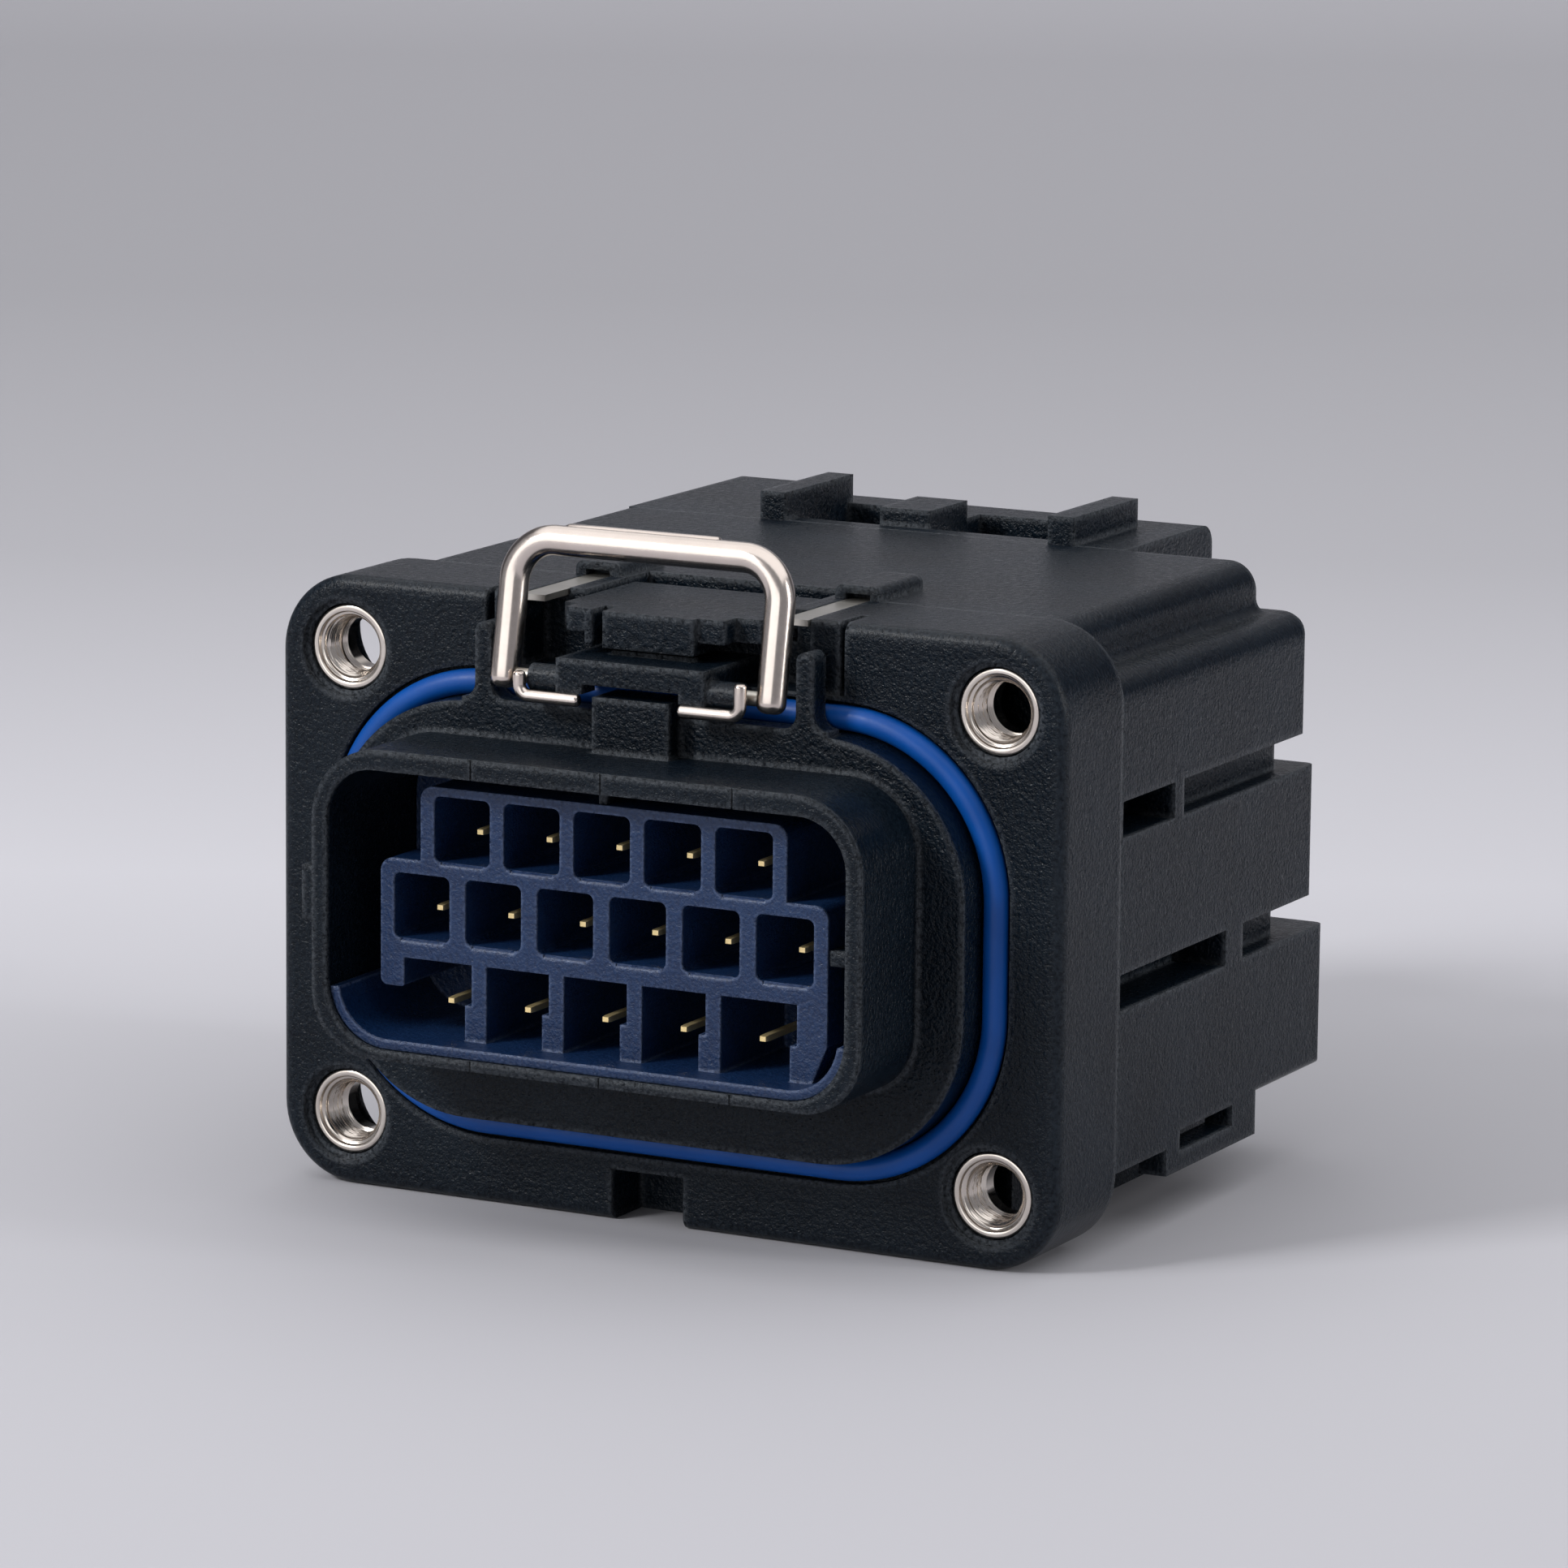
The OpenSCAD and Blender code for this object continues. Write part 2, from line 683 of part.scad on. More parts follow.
// Ear that guards a leg of the bail, with a round top and a rounded foot
module latch_ear() {
    mid = ear_x + ear_w / 2;
    along_y(-collar_out, ear_t - collar_out) {
        translate([ear_x, collar_hi_z - over])
            square([ear_w, ear_z - ear_w / 2 - collar_hi_z + over]);
        translate([mid, ear_z - ear_w / 2])
            circle(ear_w / 2);
        for (side = [-1, 1])
            difference() {
                translate([side < 0 ? ear_x - ear_foot_r : mid, band_z - over])
                    square([side < 0 ? ear_foot_r + over / 4 : ear_w / 2 + ear_foot_r, ear_foot_r + over]);
                translate([mid + side * (ear_w / 2 + ear_foot_r), band_z + ear_foot_r])
                    circle(ear_foot_r);
            }
    }
}

// Grooved channel for the lock slide, cut along Y
module slide_channel(from, to) {
    x = slide_w / 2 + slide_gap;
    low_z = slide_low_z - slide_gap;
    box([-x, from, low_z], [x, to, flange_z + over]);
    box([-x - runner_w, from, low_z], [x + runner_w, to, slide_low_z + runner_t + slide_gap]);
}

// Seats for the spring strips, cut along Y up to a height
module strip_seats(from, to, top_z) {
    both_sides()
        box(
            [strip_gap / 2 - strip_w / 2 - fit_gap, from, strip_z],
            [strip_gap / 2 + strip_w / 2 + fit_gap, to, top_z]
        );
}

module front_housing() {
    color([0.09, 0.095, 0.105])
        difference() {
            union() {
                flange_plate();
                along_y(-collar_out, flange_edge_r)
                    collar_outline(0);
                along_y(-shroud_out, 0)
                    shroud_section();
                box(
                    [-shroud_x - side_key_out, -shroud_out + side_key_setback, side_key_z - side_key_h / 2],
                    [-shroud_x + over, -over, side_key_z + side_key_h / 2]
                );
                both_sides()
                    latch_ear();
                box(
                    [-ear_x - ear_w - ear_foot_r, -collar_out, collar_hi_z - over],
                    [ear_x + ear_w + ear_foot_r, ear_t - collar_out, band_z]
                );
                box(
                    [-key_w / 2, -collar_out - key_out, shroud_top_z - over],
                    [key_w / 2, ear_t - collar_out, collar_hi_z + key_rise]
                );
            }
            difference() {
                along_y(-shroud_out - over, flange_t + over)
                    mouth_section(0);
                box(
                    [insert_x + fit_gap, -shroud_out + guide_setback, guide_z - guide_w / 2],
                    [shroud_in_x + over, cell_floor_y - fit_gap, guide_z + guide_w / 2]
                );
                box(
                    [-top_guide_w / 2, -shroud_out + guide_setback, insert_top_z + fit_gap],
                    [top_guide_w / 2, cell_floor_y - fit_gap, shroud_in_top_z + over]
                );
            }
            along_y(flange_t - lip_t, flange_t + over)
                mouth_section(lip_step + fit_gap);
            along_y(-over, seal_d - seal_proud + fit_gap)
                difference() {
                    collar_outline(seal_d + fit_gap + seal_groove_gap);
                    collar_outline(0);
                }
            at_bolts() {
                rotate([-90, 0, 0])
                    cylinder(r = bush_r + fit_gap, h = flange_t);
                rotate([90, 0, 0])
                    translate([0, 0, -bush_ring_depth])
                        cylinder(r = bush_r + bush_ring_w, h = bush_ring_depth + over);
                translate([0, bush_len, 0])
                    rotate([-90, 0, 0])
                        cylinder(r = bush_relief_r, h = flange_t);
            }
            translate([drain_x, 0, ground_z])
                box([-drain_w / 2, -over, -over], [drain_w / 2, drain_depth, drain_h]);
            difference() {
                box([-notch_w / 2, -over / 4, notch_floor_z], [notch_w / 2, notch_depth, flange_z + over]);
                both_sides()
                    box(
                        [pillar_gap / 2, pillar_setback, notch_floor_z - over],
                        [pillar_gap / 2 + pillar_w, notch_depth + over, flange_z]
                    );
            }
            for (i = [-1:1])
                translate([nick_x + i * nick_pitch, -shroud_out, 0])
                    box(
                        [-nick_w / 2, -over, shroud_low_z - over],
                        [nick_w / 2, nick_depth, shroud_top_z + over]
                    );
            slide_channel(0, flange_t + over);
            strip_seats(0, flange_t + over, flange_z + over);
        }
}

// Fillet between a shoulder and the lobes
module shoulder_hollow(x) {
    difference() {
        translate([x - over, lobe_top_z - over])
            square(shoulder_hollow_r + over);
        translate([x + shoulder_hollow_r, lobe_top_z + shoulder_hollow_r])
            circle(shoulder_hollow_r);
    }
}

// Section of the rear body
module body_outline() {
    soft_outline(
        [
            [body_left_x, lobe_low_z],
            [body_right_x, lobe_low_z],
            [body_right_x, flange_z],
            [body_left_x, flange_z]
        ],
        [lobe_edge_r, lobe_edge_r, shoulder_r, shoulder_r]
    );
    soft_outline(
        rect(flange_x, lobe_low_z, lobe_top_z),
        [lobe_edge_r, lobe_edge_r, shoulder_r, shoulder_r]
    );
    shoulder_hollow(body_right_x);
    mirror([1, 0, 0])
        shoulder_hollow(-body_left_x);
}

// Part of the body's section between two heights
module body_band(low_z, high_z) {
    intersection() {
        body_outline();
        translate([-flange_x - over, low_z])
            square([2 * (flange_x + over), high_z - low_z]);
    }
}

// End of a lobe past the core, with rounded rear edges
module lobe_end(low_z, high_z, back) {
    intersection() {
        along_y(core_back - over, back)
            body_band(low_z, high_z);
        translate([0, 0, low_z - over])
            linear_extrude(high_z - low_z + 2 * over)
                soft_outline(
                    rect(flange_x, core_back - 2 * over, back),
                    [fine_r, fine_r, lobe_back_r, lobe_back_r]
                );
    }
}

// Groove along the lobes with a deeper pocket and a rib in it
module lobe_groove(low_z, pocket_len, rib_w, back) {
    pocket_end = flange_back + pocket_len;
    both_sides() {
        box(
            [flange_x - pocket_depth, flange_back + over / 4, low_z],
            [flange_x + over, pocket_end, low_z + groove_h]
        );
        box(
            [flange_x - groove_depth, pocket_end + rib_w, low_z],
            [flange_x + over, back, low_z + groove_h]
        );
    }
}

// Hollow in a lobe, open at its rear end
module lobe_hollow(low_z, high_z) {
    x = lobe_in_x + lobe_wall;
    both_sides()
        box(
            [x, core_back - lobe_hollow_len, low_z + lobe_wall],
            [x + lobe_hollow_w, foot_back + 2 * lobe_c_past, high_z - lobe_wall]
        );
}

// Skirt below the lobes with a notch and a window
module side_skirt() {
    window_y = flange_back + side_window_y;
    difference() {
        box(
            [flange_x - side_t, flange_back, side_low_z],
            [flange_x, flange_back + side_len, lobe_low_z + over]
        );
        box(
            [flange_x - side_t - over, flange_back - over, side_low_z - over],
            [flange_x + over, flange_back + side_notch_len, side_low_z + side_notch_h]
        );
        box(
            [flange_x - side_t - over, window_y, side_low_z + side_bar],
            [flange_x + over, window_y + side_window_len, lobe_low_z]
        );
    }
}

// Bridge that holds the end of a spring strip
module strip_bridge() {
    from = strip_end_y - bridge_cover;
    translate([strip_gap / 2, 0, flange_z])
        along_y(from, from + bridge_len)
            soft_outline(
                rect(bridge_w / 2, -strip_t, bridge_h),
                [fine_r, fine_r, bridge_r, bridge_r]
            );
}

module rear_body() {
    groove_a_top = groove_a_z + groove_h;
    groove_b_top = groove_b_z + groove_h;
    color([0.085, 0.09, 0.1])
        difference() {
            union() {
                along_y(flange_back, core_back)
                    body_outline();
                difference() {
                    union() {
                        lobe_end(groove_a_top, lobe_top_z, core_back + lobe_a_past);
                        lobe_end(groove_b_top, groove_a_z, core_back + lobe_b_past);
                        lobe_end(lobe_low_z, groove_b_z, core_back + lobe_c_past);
                    }
                    box(
                        [-lobe_in_x, core_back - 2 * over, lobe_low_z - over],
                        [lobe_in_x, foot_back + 2 * lobe_c_past, flange_z + over]
                    );
                }
                both_sides() {
                    side_skirt();
                    strip_bridge();
                }
                difference() {
                    box([-foot_x, flange_back, ground_z], [foot_x, foot_back, lobe_low_z + over]);
                    box(
                        [-foot_x + foot_wall, flange_back + foot_wall, ground_z - over],
                        [foot_x - foot_wall, foot_back - foot_wall, lobe_low_z]
                    );
                }
            }
            box([-core_x, flange_back + clamp_wall, core_lo_z], [core_x, core_back + over, core_hi_z]);
            box(
                [-core_x - mat_step, mat_front, core_lo_z - mat_step],
                [core_x + mat_step, core_back + over, core_hi_z + mat_step]
            );
            box(
                [-insert_x, flange_back - over, shroud_floor_z],
                [insert_x, flange_back + clamp_wall + over, insert_top_z]
            );
            lobe_groove(groove_a_z, pocket_a_len, rib_a_w, core_back + lobe_b_past + over);
            lobe_groove(groove_b_z, pocket_b_len, rib_b_w, core_back + lobe_c_past + over);
            lobe_hollow(groove_a_top, lobe_top_z);
            lobe_hollow(groove_b_top, groove_a_z);
            lobe_hollow(lobe_low_z, groove_b_z);
            box(
                [-flange_x - over, flange_back - over, side_low_z - over],
                [-lobe_in_x, flange_back + bolt_access, flange_z - shoulder_r]
            );
            slide_channel(flange_back - over, slide_len + slide_travel + slide_gap);
            strip_seats(flange_back - over, strip_end_y + fit_gap, flange_z + bridge_gap);
            hood_pegs(fit_gap);
        }
}

// Pegs that seat the hood in the body's rear face
module hood_pegs(grow) {
    for (x = [hood_left_x + peg_in, hood_right_x - peg_in])
        translate([x, core_back - peg_len - grow, flange_z - body_wall / 2 + mat_step / 2])
            rotate([-90, 0, 0])
                cylinder(r = peg_r + grow, h = peg_len + grow + over);
}

// Side view of the hood as Y and Z, with its upper rear corner rounded
module hood_outline(front, back, low) {
    translate([front, low])
        square([back - hood_r - front, flange_z - low]);
    translate([front, low])
        square([back - front, flange_z - hood_r - low]);
    translate([back - hood_r, flange_z - hood_r])
        circle(hood_r);
}

module rear_hood() {
    back = core_back + hood_len;
    left_back = back + hood_left_past;
    low = flange_z - hood_side_h;
    window_front = core_back + hood_bar;
    color([0.09, 0.095, 0.105]) {
        difference() {
            for (part = [[hood_right_x, back], [hood_left_x + hood_left_w, left_back]])
                translate([hood_left_x, 0, 0])
                    rotate([90, 0, 90])
                        linear_extrude(part[0] - hood_left_x)
                            hood_outline(core_back, part[1], low);
            box(
                [hood_left_x + hood_wall, core_back - over, low - over],
                [hood_right_x - hood_wall, left_back + over, flange_z - hood_wall]
            );
            box(
                [-rail_x + rail_w / 2, window_front, flange_z - hood_wall - over],
                [block_x - block_w / 2, window_front + hood_window_len, flange_z + over]
            );
            box(
                [block_x + block_w / 2, window_front, flange_z - hood_wall - over],
                [rail_x - rail_w / 2, window_front + hood_window_len, flange_z + over]
            );
        }
        for (sx = [-1, 1])
            box(
                [sx * rail_x - rail_w / 2, core_back, flange_z - hood_wall],
                [sx * rail_x + rail_w / 2, core_back + rail_len, flange_z + rail_h]
            );
        box(
            [block_x - block_w / 2, window_front, flange_z - hood_wall],
            [block_x + block_w / 2, window_front + block_len, flange_z + block_h]
        );
        hood_pegs(0);
    }
}

// Places of the cells and of the contacts in them
function row_z(row) = row == "a" ? top_row_z : row == "b" ? middle_row_z : bottom_row_z;
function pin_z(row) = row_z(row) - (row == "c" ? 0 : pin_drop);
function contact_x(row, i) = row[3] + (i - (row[1] + 1) / 2) * row[2];

module at_cells() {
    for (row = [rows[0], rows[1]])
        for (i = [1:row[1]])
            translate([contact_x(row, i), 0, row_z(row[0])])
                children();
}

module at_contacts() {
    for (row = rows)
        for (i = [1:row[1]])
            translate([contact_x(row, i), 0, pin_z(row[0])])
                children();
}

module rear_retainer() {
    grow = mat_step - fit_gap;
    color([0.1, 0.105, 0.115])
        difference() {
            union() {
                box(
                    [-core_x - grow, mat_back, core_lo_z - grow],
                    [core_x + grow, retainer_back, core_hi_z + grow]
                );
                at_contacts()
                    translate([0, mat_back, 0])
                        rotate([-90, 0, 0])
                            cylinder(r = ring_r, h = retainer_t + ring_h);
            }
            at_contacts()
                translate([0, mat_back - over, 0])
                    rotate([-90, 0, 0])
                        cylinder(r = entry_r, h = retainer_t + ring_h + 2 * over);
        }
}

module wire_seal() {
    grow = mat_step - fit_gap;
    color([0.08, 0.25, 0.6])
        difference() {
            box([-core_x - grow, mat_front, core_lo_z - grow], [core_x + grow, mat_back, core_hi_z + grow]);
            at_contacts()
                translate([0, mat_front - over, 0])
                    rotate([-90, 0, 0])
                        cylinder(r = mat_hole_r, h = mat_t + 2 * over);
        }
}

// Section of the insert's grid of walls
module insert_outline() {
    soft_outline(rect(top_row_x, middle_row_z, insert_top_z), [fine_r, fine_r, insert_r, insert_r]);
    soft_outline(rect(insert_x, bottom_ceiling_z, shoulder_z), [fine_r, fine_r, insert_r, insert_r]);
    soft_outline(
        [
            [-insert_x, bottom_ceiling_z - left_leg_h],
            [-insert_x + left_leg_w, bottom_ceiling_z - left_leg_h],
            [-insert_x + left_leg_w, bottom_ceiling_z + over],
            [-insert_x, bottom_ceiling_z + over]
        ],
        [leg_r, fine_r, fine_r, fine_r]
    );
    polygon([
        [insert_x - right_leg_w, bottom_ceiling_z + over],
        [insert_x - right_leg_w, shroud_floor_z - fit_gap],
        [insert_x - right_leg_w / 2, shroud_floor_z - fit_gap],
        [insert_x, bottom_ceiling_z - bottom_h / 2],
        [insert_x, bottom_ceiling_z + over]
    ]);
    for (i = [1:lower_count - 1])
        translate([contact_x(rows[2], i + 0.5) - bottom_wall / 2, shroud_floor_z - fit_gap]) {
            square([bottom_wall, bottom_h + over]);
            translate([-bottom_wall_step, 0])
                square([bottom_wall, bottom_wall_step_h]);
        }
    translate([insert_x - right_leg_w - bottom_wall_step, shroud_floor_z - fit_gap])
        square([bottom_wall, bottom_wall_step_h]);
}

// Tray of the insert along the shroud's floor
module tray_outline() {
    difference() {
        intersection() {
            mouth_section(-fit_gap);
            translate([-shroud_x, shroud_low_z])
                square([2 * shroud_x, shroud_in_low_z + tray_side - shroud_low_z]);
        }
        mouth_section(-fit_gap - tray_t);
    }
}

// Hollow of one contact cell, with a bevel along the lower edge of its mouth
module contact_cell() {
    side = cell_bevel * sqrt(2);
    along_y(-insert_front - over, cell_floor_y)
        soft_rect(cell_w / 2, -cell_h / 2, cell_h / 2, cell_r);
    translate([0, -insert_front, -cell_h / 2])
        rotate([45, 0, 0])
            cube([cell_w - 2 * cell_r, side, side], center = true);
}

module contact_insert() {
    base_back = flange_back;
    color([0.11, 0.16, 0.3])
        difference() {
            union() {
                difference() {
                    along_y(-insert_front, cell_floor_y)
                        insert_outline();
                    at_cells()
                        contact_cell();
                }
                along_y(-shroud_out + tray_setback, cell_floor_y)
                    tray_outline();
                along_y(cell_floor_y, base_back)
                    mouth_section(-fit_gap);
                along_y(base_back - lip_t, base_back)
                    mouth_section(lip_step);
            }
            at_contacts()
                box(
                    [-pin_side / 2 - fit_gap, cell_floor_y - over / 2, -pin_side / 2 - fit_gap],
                    [pin_side / 2 + fit_gap, base_back + over, pin_side / 2 + fit_gap]
                );
        }
}

// One contact: square pin, square body and crimp barrel
module contact(row, i) {
    lead = row[0] == "c" ? bottom_tip_lead : 0;
    tip_y = -insert_front + tip_depth - lead;
    half = pin_side / 2;
    body = contact_side / 2;
    color([0.83, 0.66, 0.3])
        translate([contact_x(row, i), 0, pin_z(row[0])]) {
            box([-half, tip_y, -half], [half, flange_back + over, half]);
            box([-body, flange_back + fit_gap, -body], [body, contact_back, body]);
            translate([0, contact_back - over / 4, 0])
                rotate([-90, 0, 0])
                    difference() {
                        cylinder(r = crimp_r, h = crimp_len);
                        translate([0, 0, over])
                            cylinder(r = crimp_r - crimp_wall, h = crimp_len);
                    }
        }
}

// Straight run of the seal cord from one point to another, as X and Z
module seal_run(a, b) {
    d = b - a;
    translate([a[0], seal_y, a[1]])
        rotate([0, atan2(d[0], d[1]), 0])
            cylinder(d = seal_d, h = norm(d));
}

module face_seal() {
    x = seal_x - seal_bend_r;
    z = seal_half_z - seal_bend_r;
    color([0.08, 0.27, 0.65])
        translate([0, 0, collar_mid_z]) {
            for (sz = [-1, 1])
                seal_run([-x, sz * seal_half_z], [x, sz * seal_half_z]);
            for (sx = [-1, 1])
                seal_run([sx * seal_x, -z], [sx * seal_x, z]);
            for (k = [0:3])
                translate([[1, -1, -1, 1][k] * x, seal_y, [1, 1, -1, -1][k] * z])
                    rotate([90, 0, 0])
                        rotate([0, 0, 90 * k])
                            rotate_extrude(angle = 90)
                                translate([seal_bend_r, 0])
                                    circle(d = seal_d);
        }
}

// One threaded bush, drawn at its bolt's place
module bush(sx, sz) {
    color([0.75, 0.73, 0.68])
        translate([sx * bolt_dx / 2, 0, sz * bolt_dz / 2])
            rotate([-90, 0, 0])
                difference() {
                    cylinder(r = bush_r, h = bush_len);
                    translate([0, 0, -over])
                        cylinder(r = bush_bore_r, h = bush_len + 2 * over);
                }
}

module hinge_block() {
    color([0.1, 0.105, 0.115])
        difference() {
            union() {
                box([-hinge_x, -hinge_out, notch_floor_z], [hinge_x, notch_depth, hinge_top_z]);
                both_sides()
                    box(
                        [hinge_x - skirt_w, -hinge_out, skirt_low_z],
                        [hinge_x, -hinge_out + skirt_t, hinge_top_z]
                    );
                both_sides()
                    translate([0, -pivot_out, pivot_z])
                        bar_x(hinge_x - over, boss_end_x, boss_r);
                box(
                    [-ridge_w / 2, hinge_back_y - ridge_t, notch_floor_z],
                    [ridge_w / 2, hinge_back_y, hinge_top_z + ridge_h]
                );
            }
            both_sides()
                translate([0, -pivot_out, pivot_z])
                    bar_x(pivot_from_x - fit_gap, boss_end_x + over, pivot_r + pivot_gap);
        }
}

// One leg of the bail with its pivot end and its bend
module bail_leg() {
    r = bail_d / 2;
    x = bail_w / 2;
    leg = bail_reach - bail_bend_r;
    translate([x, 0, bail_end_bevel - bail_end])
        cylinder(r = r, h = leg + bail_end - bail_end_bevel);
    translate([x, 0, -bail_end])
        cylinder(r1 = r - bail_end_bevel, r2 = r, h = bail_end_bevel);
    bar_x(pivot_from_x, x, pivot_r);
    translate([x - bail_bend_r, 0, leg])
        rotate([90, 0, 0])
            rotate_extrude(angle = 90)
                translate([bail_bend_r, 0])
                    circle(r);
}

module bail() {
    r = bail_d / 2;
    bar = bail_w / 2 - bail_bend_r;
    color([0.77, 0.74, 0.69])
        translate([0, -pivot_out, pivot_z])
            rotate([-bail_lean, 0, 0])
                difference() {
                    union() {
                        both_sides()
                            bail_leg();
                        translate([0, 0, bail_reach])
                            bar_x(-bar, bar, r);
                    }
                    translate([0, 0, bail_reach])
                        rotate([-bail_flat_angle, 0, 0])
                            box(
                                [-bail_flat_w / 2, -bail_d, r - bail_flat_depth],
                                [bail_flat_w / 2, bail_d, bail_d]
                            );
                }
}

// Clip wire beside one pivot boss
module pivot_clip(side) {
    r = clip_d / 2;
    bend = clip_d;
    color([0.8, 0.78, 0.74])
        mirror([side < 0 ? 1 : 0, 0, 0])
            translate([0, clip_y, clip_z]) {
                bar_x(clip_gap / 2, clip_x - bend, r);
                translate([clip_x - bend, 0, bend])
                    rotate([90, 0, 0])
                        rotate([0, 0, -90])
                            rotate_extrude(angle = 90)
                                translate([bend, 0])
                                    circle(r);
                translate([clip_x, 0, bend])
                    cylinder(r = r, h = clip_h - bend);
            }
}

module lock_slide() {
    x = slide_w / 2;
    lug_low_z = slide_top_z - lug_h;
    lug_y = lug_setback - nose_out;
    back = slide_front_y;
    color([0.1, 0.105, 0.115]) {
        box([-nose_w / 2, -nose_out, nose_low_z], [nose_w / 2, back, slide_top_z]);
        box([nose_w / 2 - over, lug_y, lug_low_z], [lug_right_x, back, slide_top_z]);
        box([lug_left_x, lug_y, lug_low_z], [post_x + post_w / 2, back, slide_top_z]);
        box([post_x, lug_y - lug_setback / 2, nose_low_z], [post_x + post_w, back, slide_top_z]);
        box([-x, 0, slide_low_z], [x, slide_len, slide_top_z]);
        box(
            [-x - runner_w, notch_depth + slide_gap, slide_low_z],
            [x + runner_w, slide_len, slide_low_z + runner_t]
        );
    }
}

module spring_strip(side) {
    x = side * strip_gap / 2;
    color([0.78, 0.76, 0.72])
        box([x - strip_w / 2, strip_y, strip_z], [x + strip_w / 2, strip_y + strip_len, strip_z + strip_t]);
}

front_housing();
rear_body();
rear_hood();
rear_retainer();
wire_seal();
contact_insert();
face_seal();
bush(-1, 1);  // bush_1
bush(1, 1);  // bush_2
bush(-1, -1);  // bush_3
bush(1, -1);  // bush_4
hinge_block();
bail();
lock_slide();
pivot_clip(-1);  // pivot_clip_left
pivot_clip(1);  // pivot_clip_right
spring_strip(-1);  // spring_strip_left
spring_strip(1);  // spring_strip_right
for (row = rows)
    for (i = [1:row[1]])
        contact(row, i);
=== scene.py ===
import json
import math

import bpy
import bmesh
from mathutils import Matrix, Vector


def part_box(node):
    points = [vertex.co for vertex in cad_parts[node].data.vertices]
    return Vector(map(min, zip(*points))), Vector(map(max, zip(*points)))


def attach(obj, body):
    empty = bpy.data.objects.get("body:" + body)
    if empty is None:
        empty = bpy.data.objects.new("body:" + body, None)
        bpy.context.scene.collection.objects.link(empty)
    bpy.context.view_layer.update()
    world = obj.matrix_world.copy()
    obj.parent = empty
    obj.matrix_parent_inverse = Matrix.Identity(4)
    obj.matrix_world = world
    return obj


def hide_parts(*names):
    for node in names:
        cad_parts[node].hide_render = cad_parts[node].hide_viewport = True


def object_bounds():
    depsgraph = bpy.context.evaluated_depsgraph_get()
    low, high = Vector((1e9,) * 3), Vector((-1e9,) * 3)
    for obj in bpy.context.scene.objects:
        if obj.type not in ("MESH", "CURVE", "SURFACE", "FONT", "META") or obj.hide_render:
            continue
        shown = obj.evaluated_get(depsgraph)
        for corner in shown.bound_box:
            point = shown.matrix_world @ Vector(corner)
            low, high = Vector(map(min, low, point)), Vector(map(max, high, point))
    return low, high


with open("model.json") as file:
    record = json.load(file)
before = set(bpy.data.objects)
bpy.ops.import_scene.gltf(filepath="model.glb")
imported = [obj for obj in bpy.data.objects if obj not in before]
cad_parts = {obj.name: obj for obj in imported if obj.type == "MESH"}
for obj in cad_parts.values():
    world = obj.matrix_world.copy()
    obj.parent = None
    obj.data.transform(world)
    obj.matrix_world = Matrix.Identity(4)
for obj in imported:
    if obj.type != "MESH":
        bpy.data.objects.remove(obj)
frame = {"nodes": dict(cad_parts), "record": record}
nodes = frame["nodes"]
cad_box = [list(map(float, corner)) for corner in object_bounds()]
scene = bpy.context.scene
MM = 0.001


# Shader helpers

# Sockets of Blender's Mix node, which shares one name between its data types
MIX_FACTOR = 0
FLOAT_A, FLOAT_B, FLOAT_OUT = 2, 3, 0
COLOUR_A, COLOUR_B, COLOUR_OUT = 6, 7, 2
BEVEL_SAMPLES = 3
# Ends of a noise pattern between which most ramps run
SPREAD = (0.3, 0.7)


def node_tree(name):
    mat = bpy.data.materials.new(name)
    mat.use_nodes = True
    tree = mat.node_tree
    shader = tree.nodes["Principled BSDF"]
    return mat, tree, shader


def add(tree, kind, **values):
    """New node with its inputs, or else its settings, set by name."""
    made = tree.nodes.new(kind)
    for key, value in values.items():
        if key in made.inputs:
            made.inputs[key].default_value = value
        else:
            setattr(made, key, value)
    return made


def object_coords(tree, scale=(1, 1, 1)):
    coords = add(tree, "ShaderNodeTexCoord")
    place = add(tree, "ShaderNodeMapping", Scale=scale)
    tree.links.new(coords.outputs["Object"], place.inputs["Vector"])
    return place.outputs["Vector"]


def noise(tree, vector, scale, detail=2.0, roughness=0.5):
    made = add(tree, "ShaderNodeTexNoise", Scale=scale, Detail=detail, Roughness=roughness)
    tree.links.new(vector, made.inputs["Vector"])
    return made.outputs["Fac"]


def ramp(tree, value, stops):
    """Colour ramp through stops of position and colour."""
    made = add(tree, "ShaderNodeValToRGB")
    made.color_ramp.elements[0].position = stops[0][0]
    made.color_ramp.elements[0].color = (*stops[0][1], 1)
    made.color_ramp.elements[1].position = stops[-1][0]
    made.color_ramp.elements[1].color = (*stops[-1][1], 1)
    for position, colour in stops[1:-1]:
        made.color_ramp.elements.new(position).color = (*colour, 1)
    tree.links.new(value, made.inputs["Fac"])
    return made.outputs["Color"]


def colour_ramp(tree, pattern, dark, light, ends=SPREAD):
    """Colour between dark and light, as a pattern runs between two ends."""
    return ramp(tree, pattern, list(zip(ends, (dark, light))))


def level_ramp(tree, pattern, levels, ends=SPREAD):
    """Grey between two levels, as a pattern runs between two ends."""
    return ramp(tree, pattern, [(at, (level,) * 3) for at, level in zip(ends, levels)])


def map_range(tree, value, **ends):
    """Value moved from one range to another, whose ends are given as From_Min and the like."""
    named = {key.replace("_", " "): end for key, end in ends.items()}
    made = add(tree, "ShaderNodeMapRange", **named)
    tree.links.new(value, made.inputs["Value"])
    return made.outputs["Result"]


def math_node(tree, operation, first, second):
    made = add(tree, "ShaderNodeMath", operation=operation)
    tree.links.new(first, made.inputs[0])
    tree.links.new(second, made.inputs[1])
    return made.outputs["Value"]


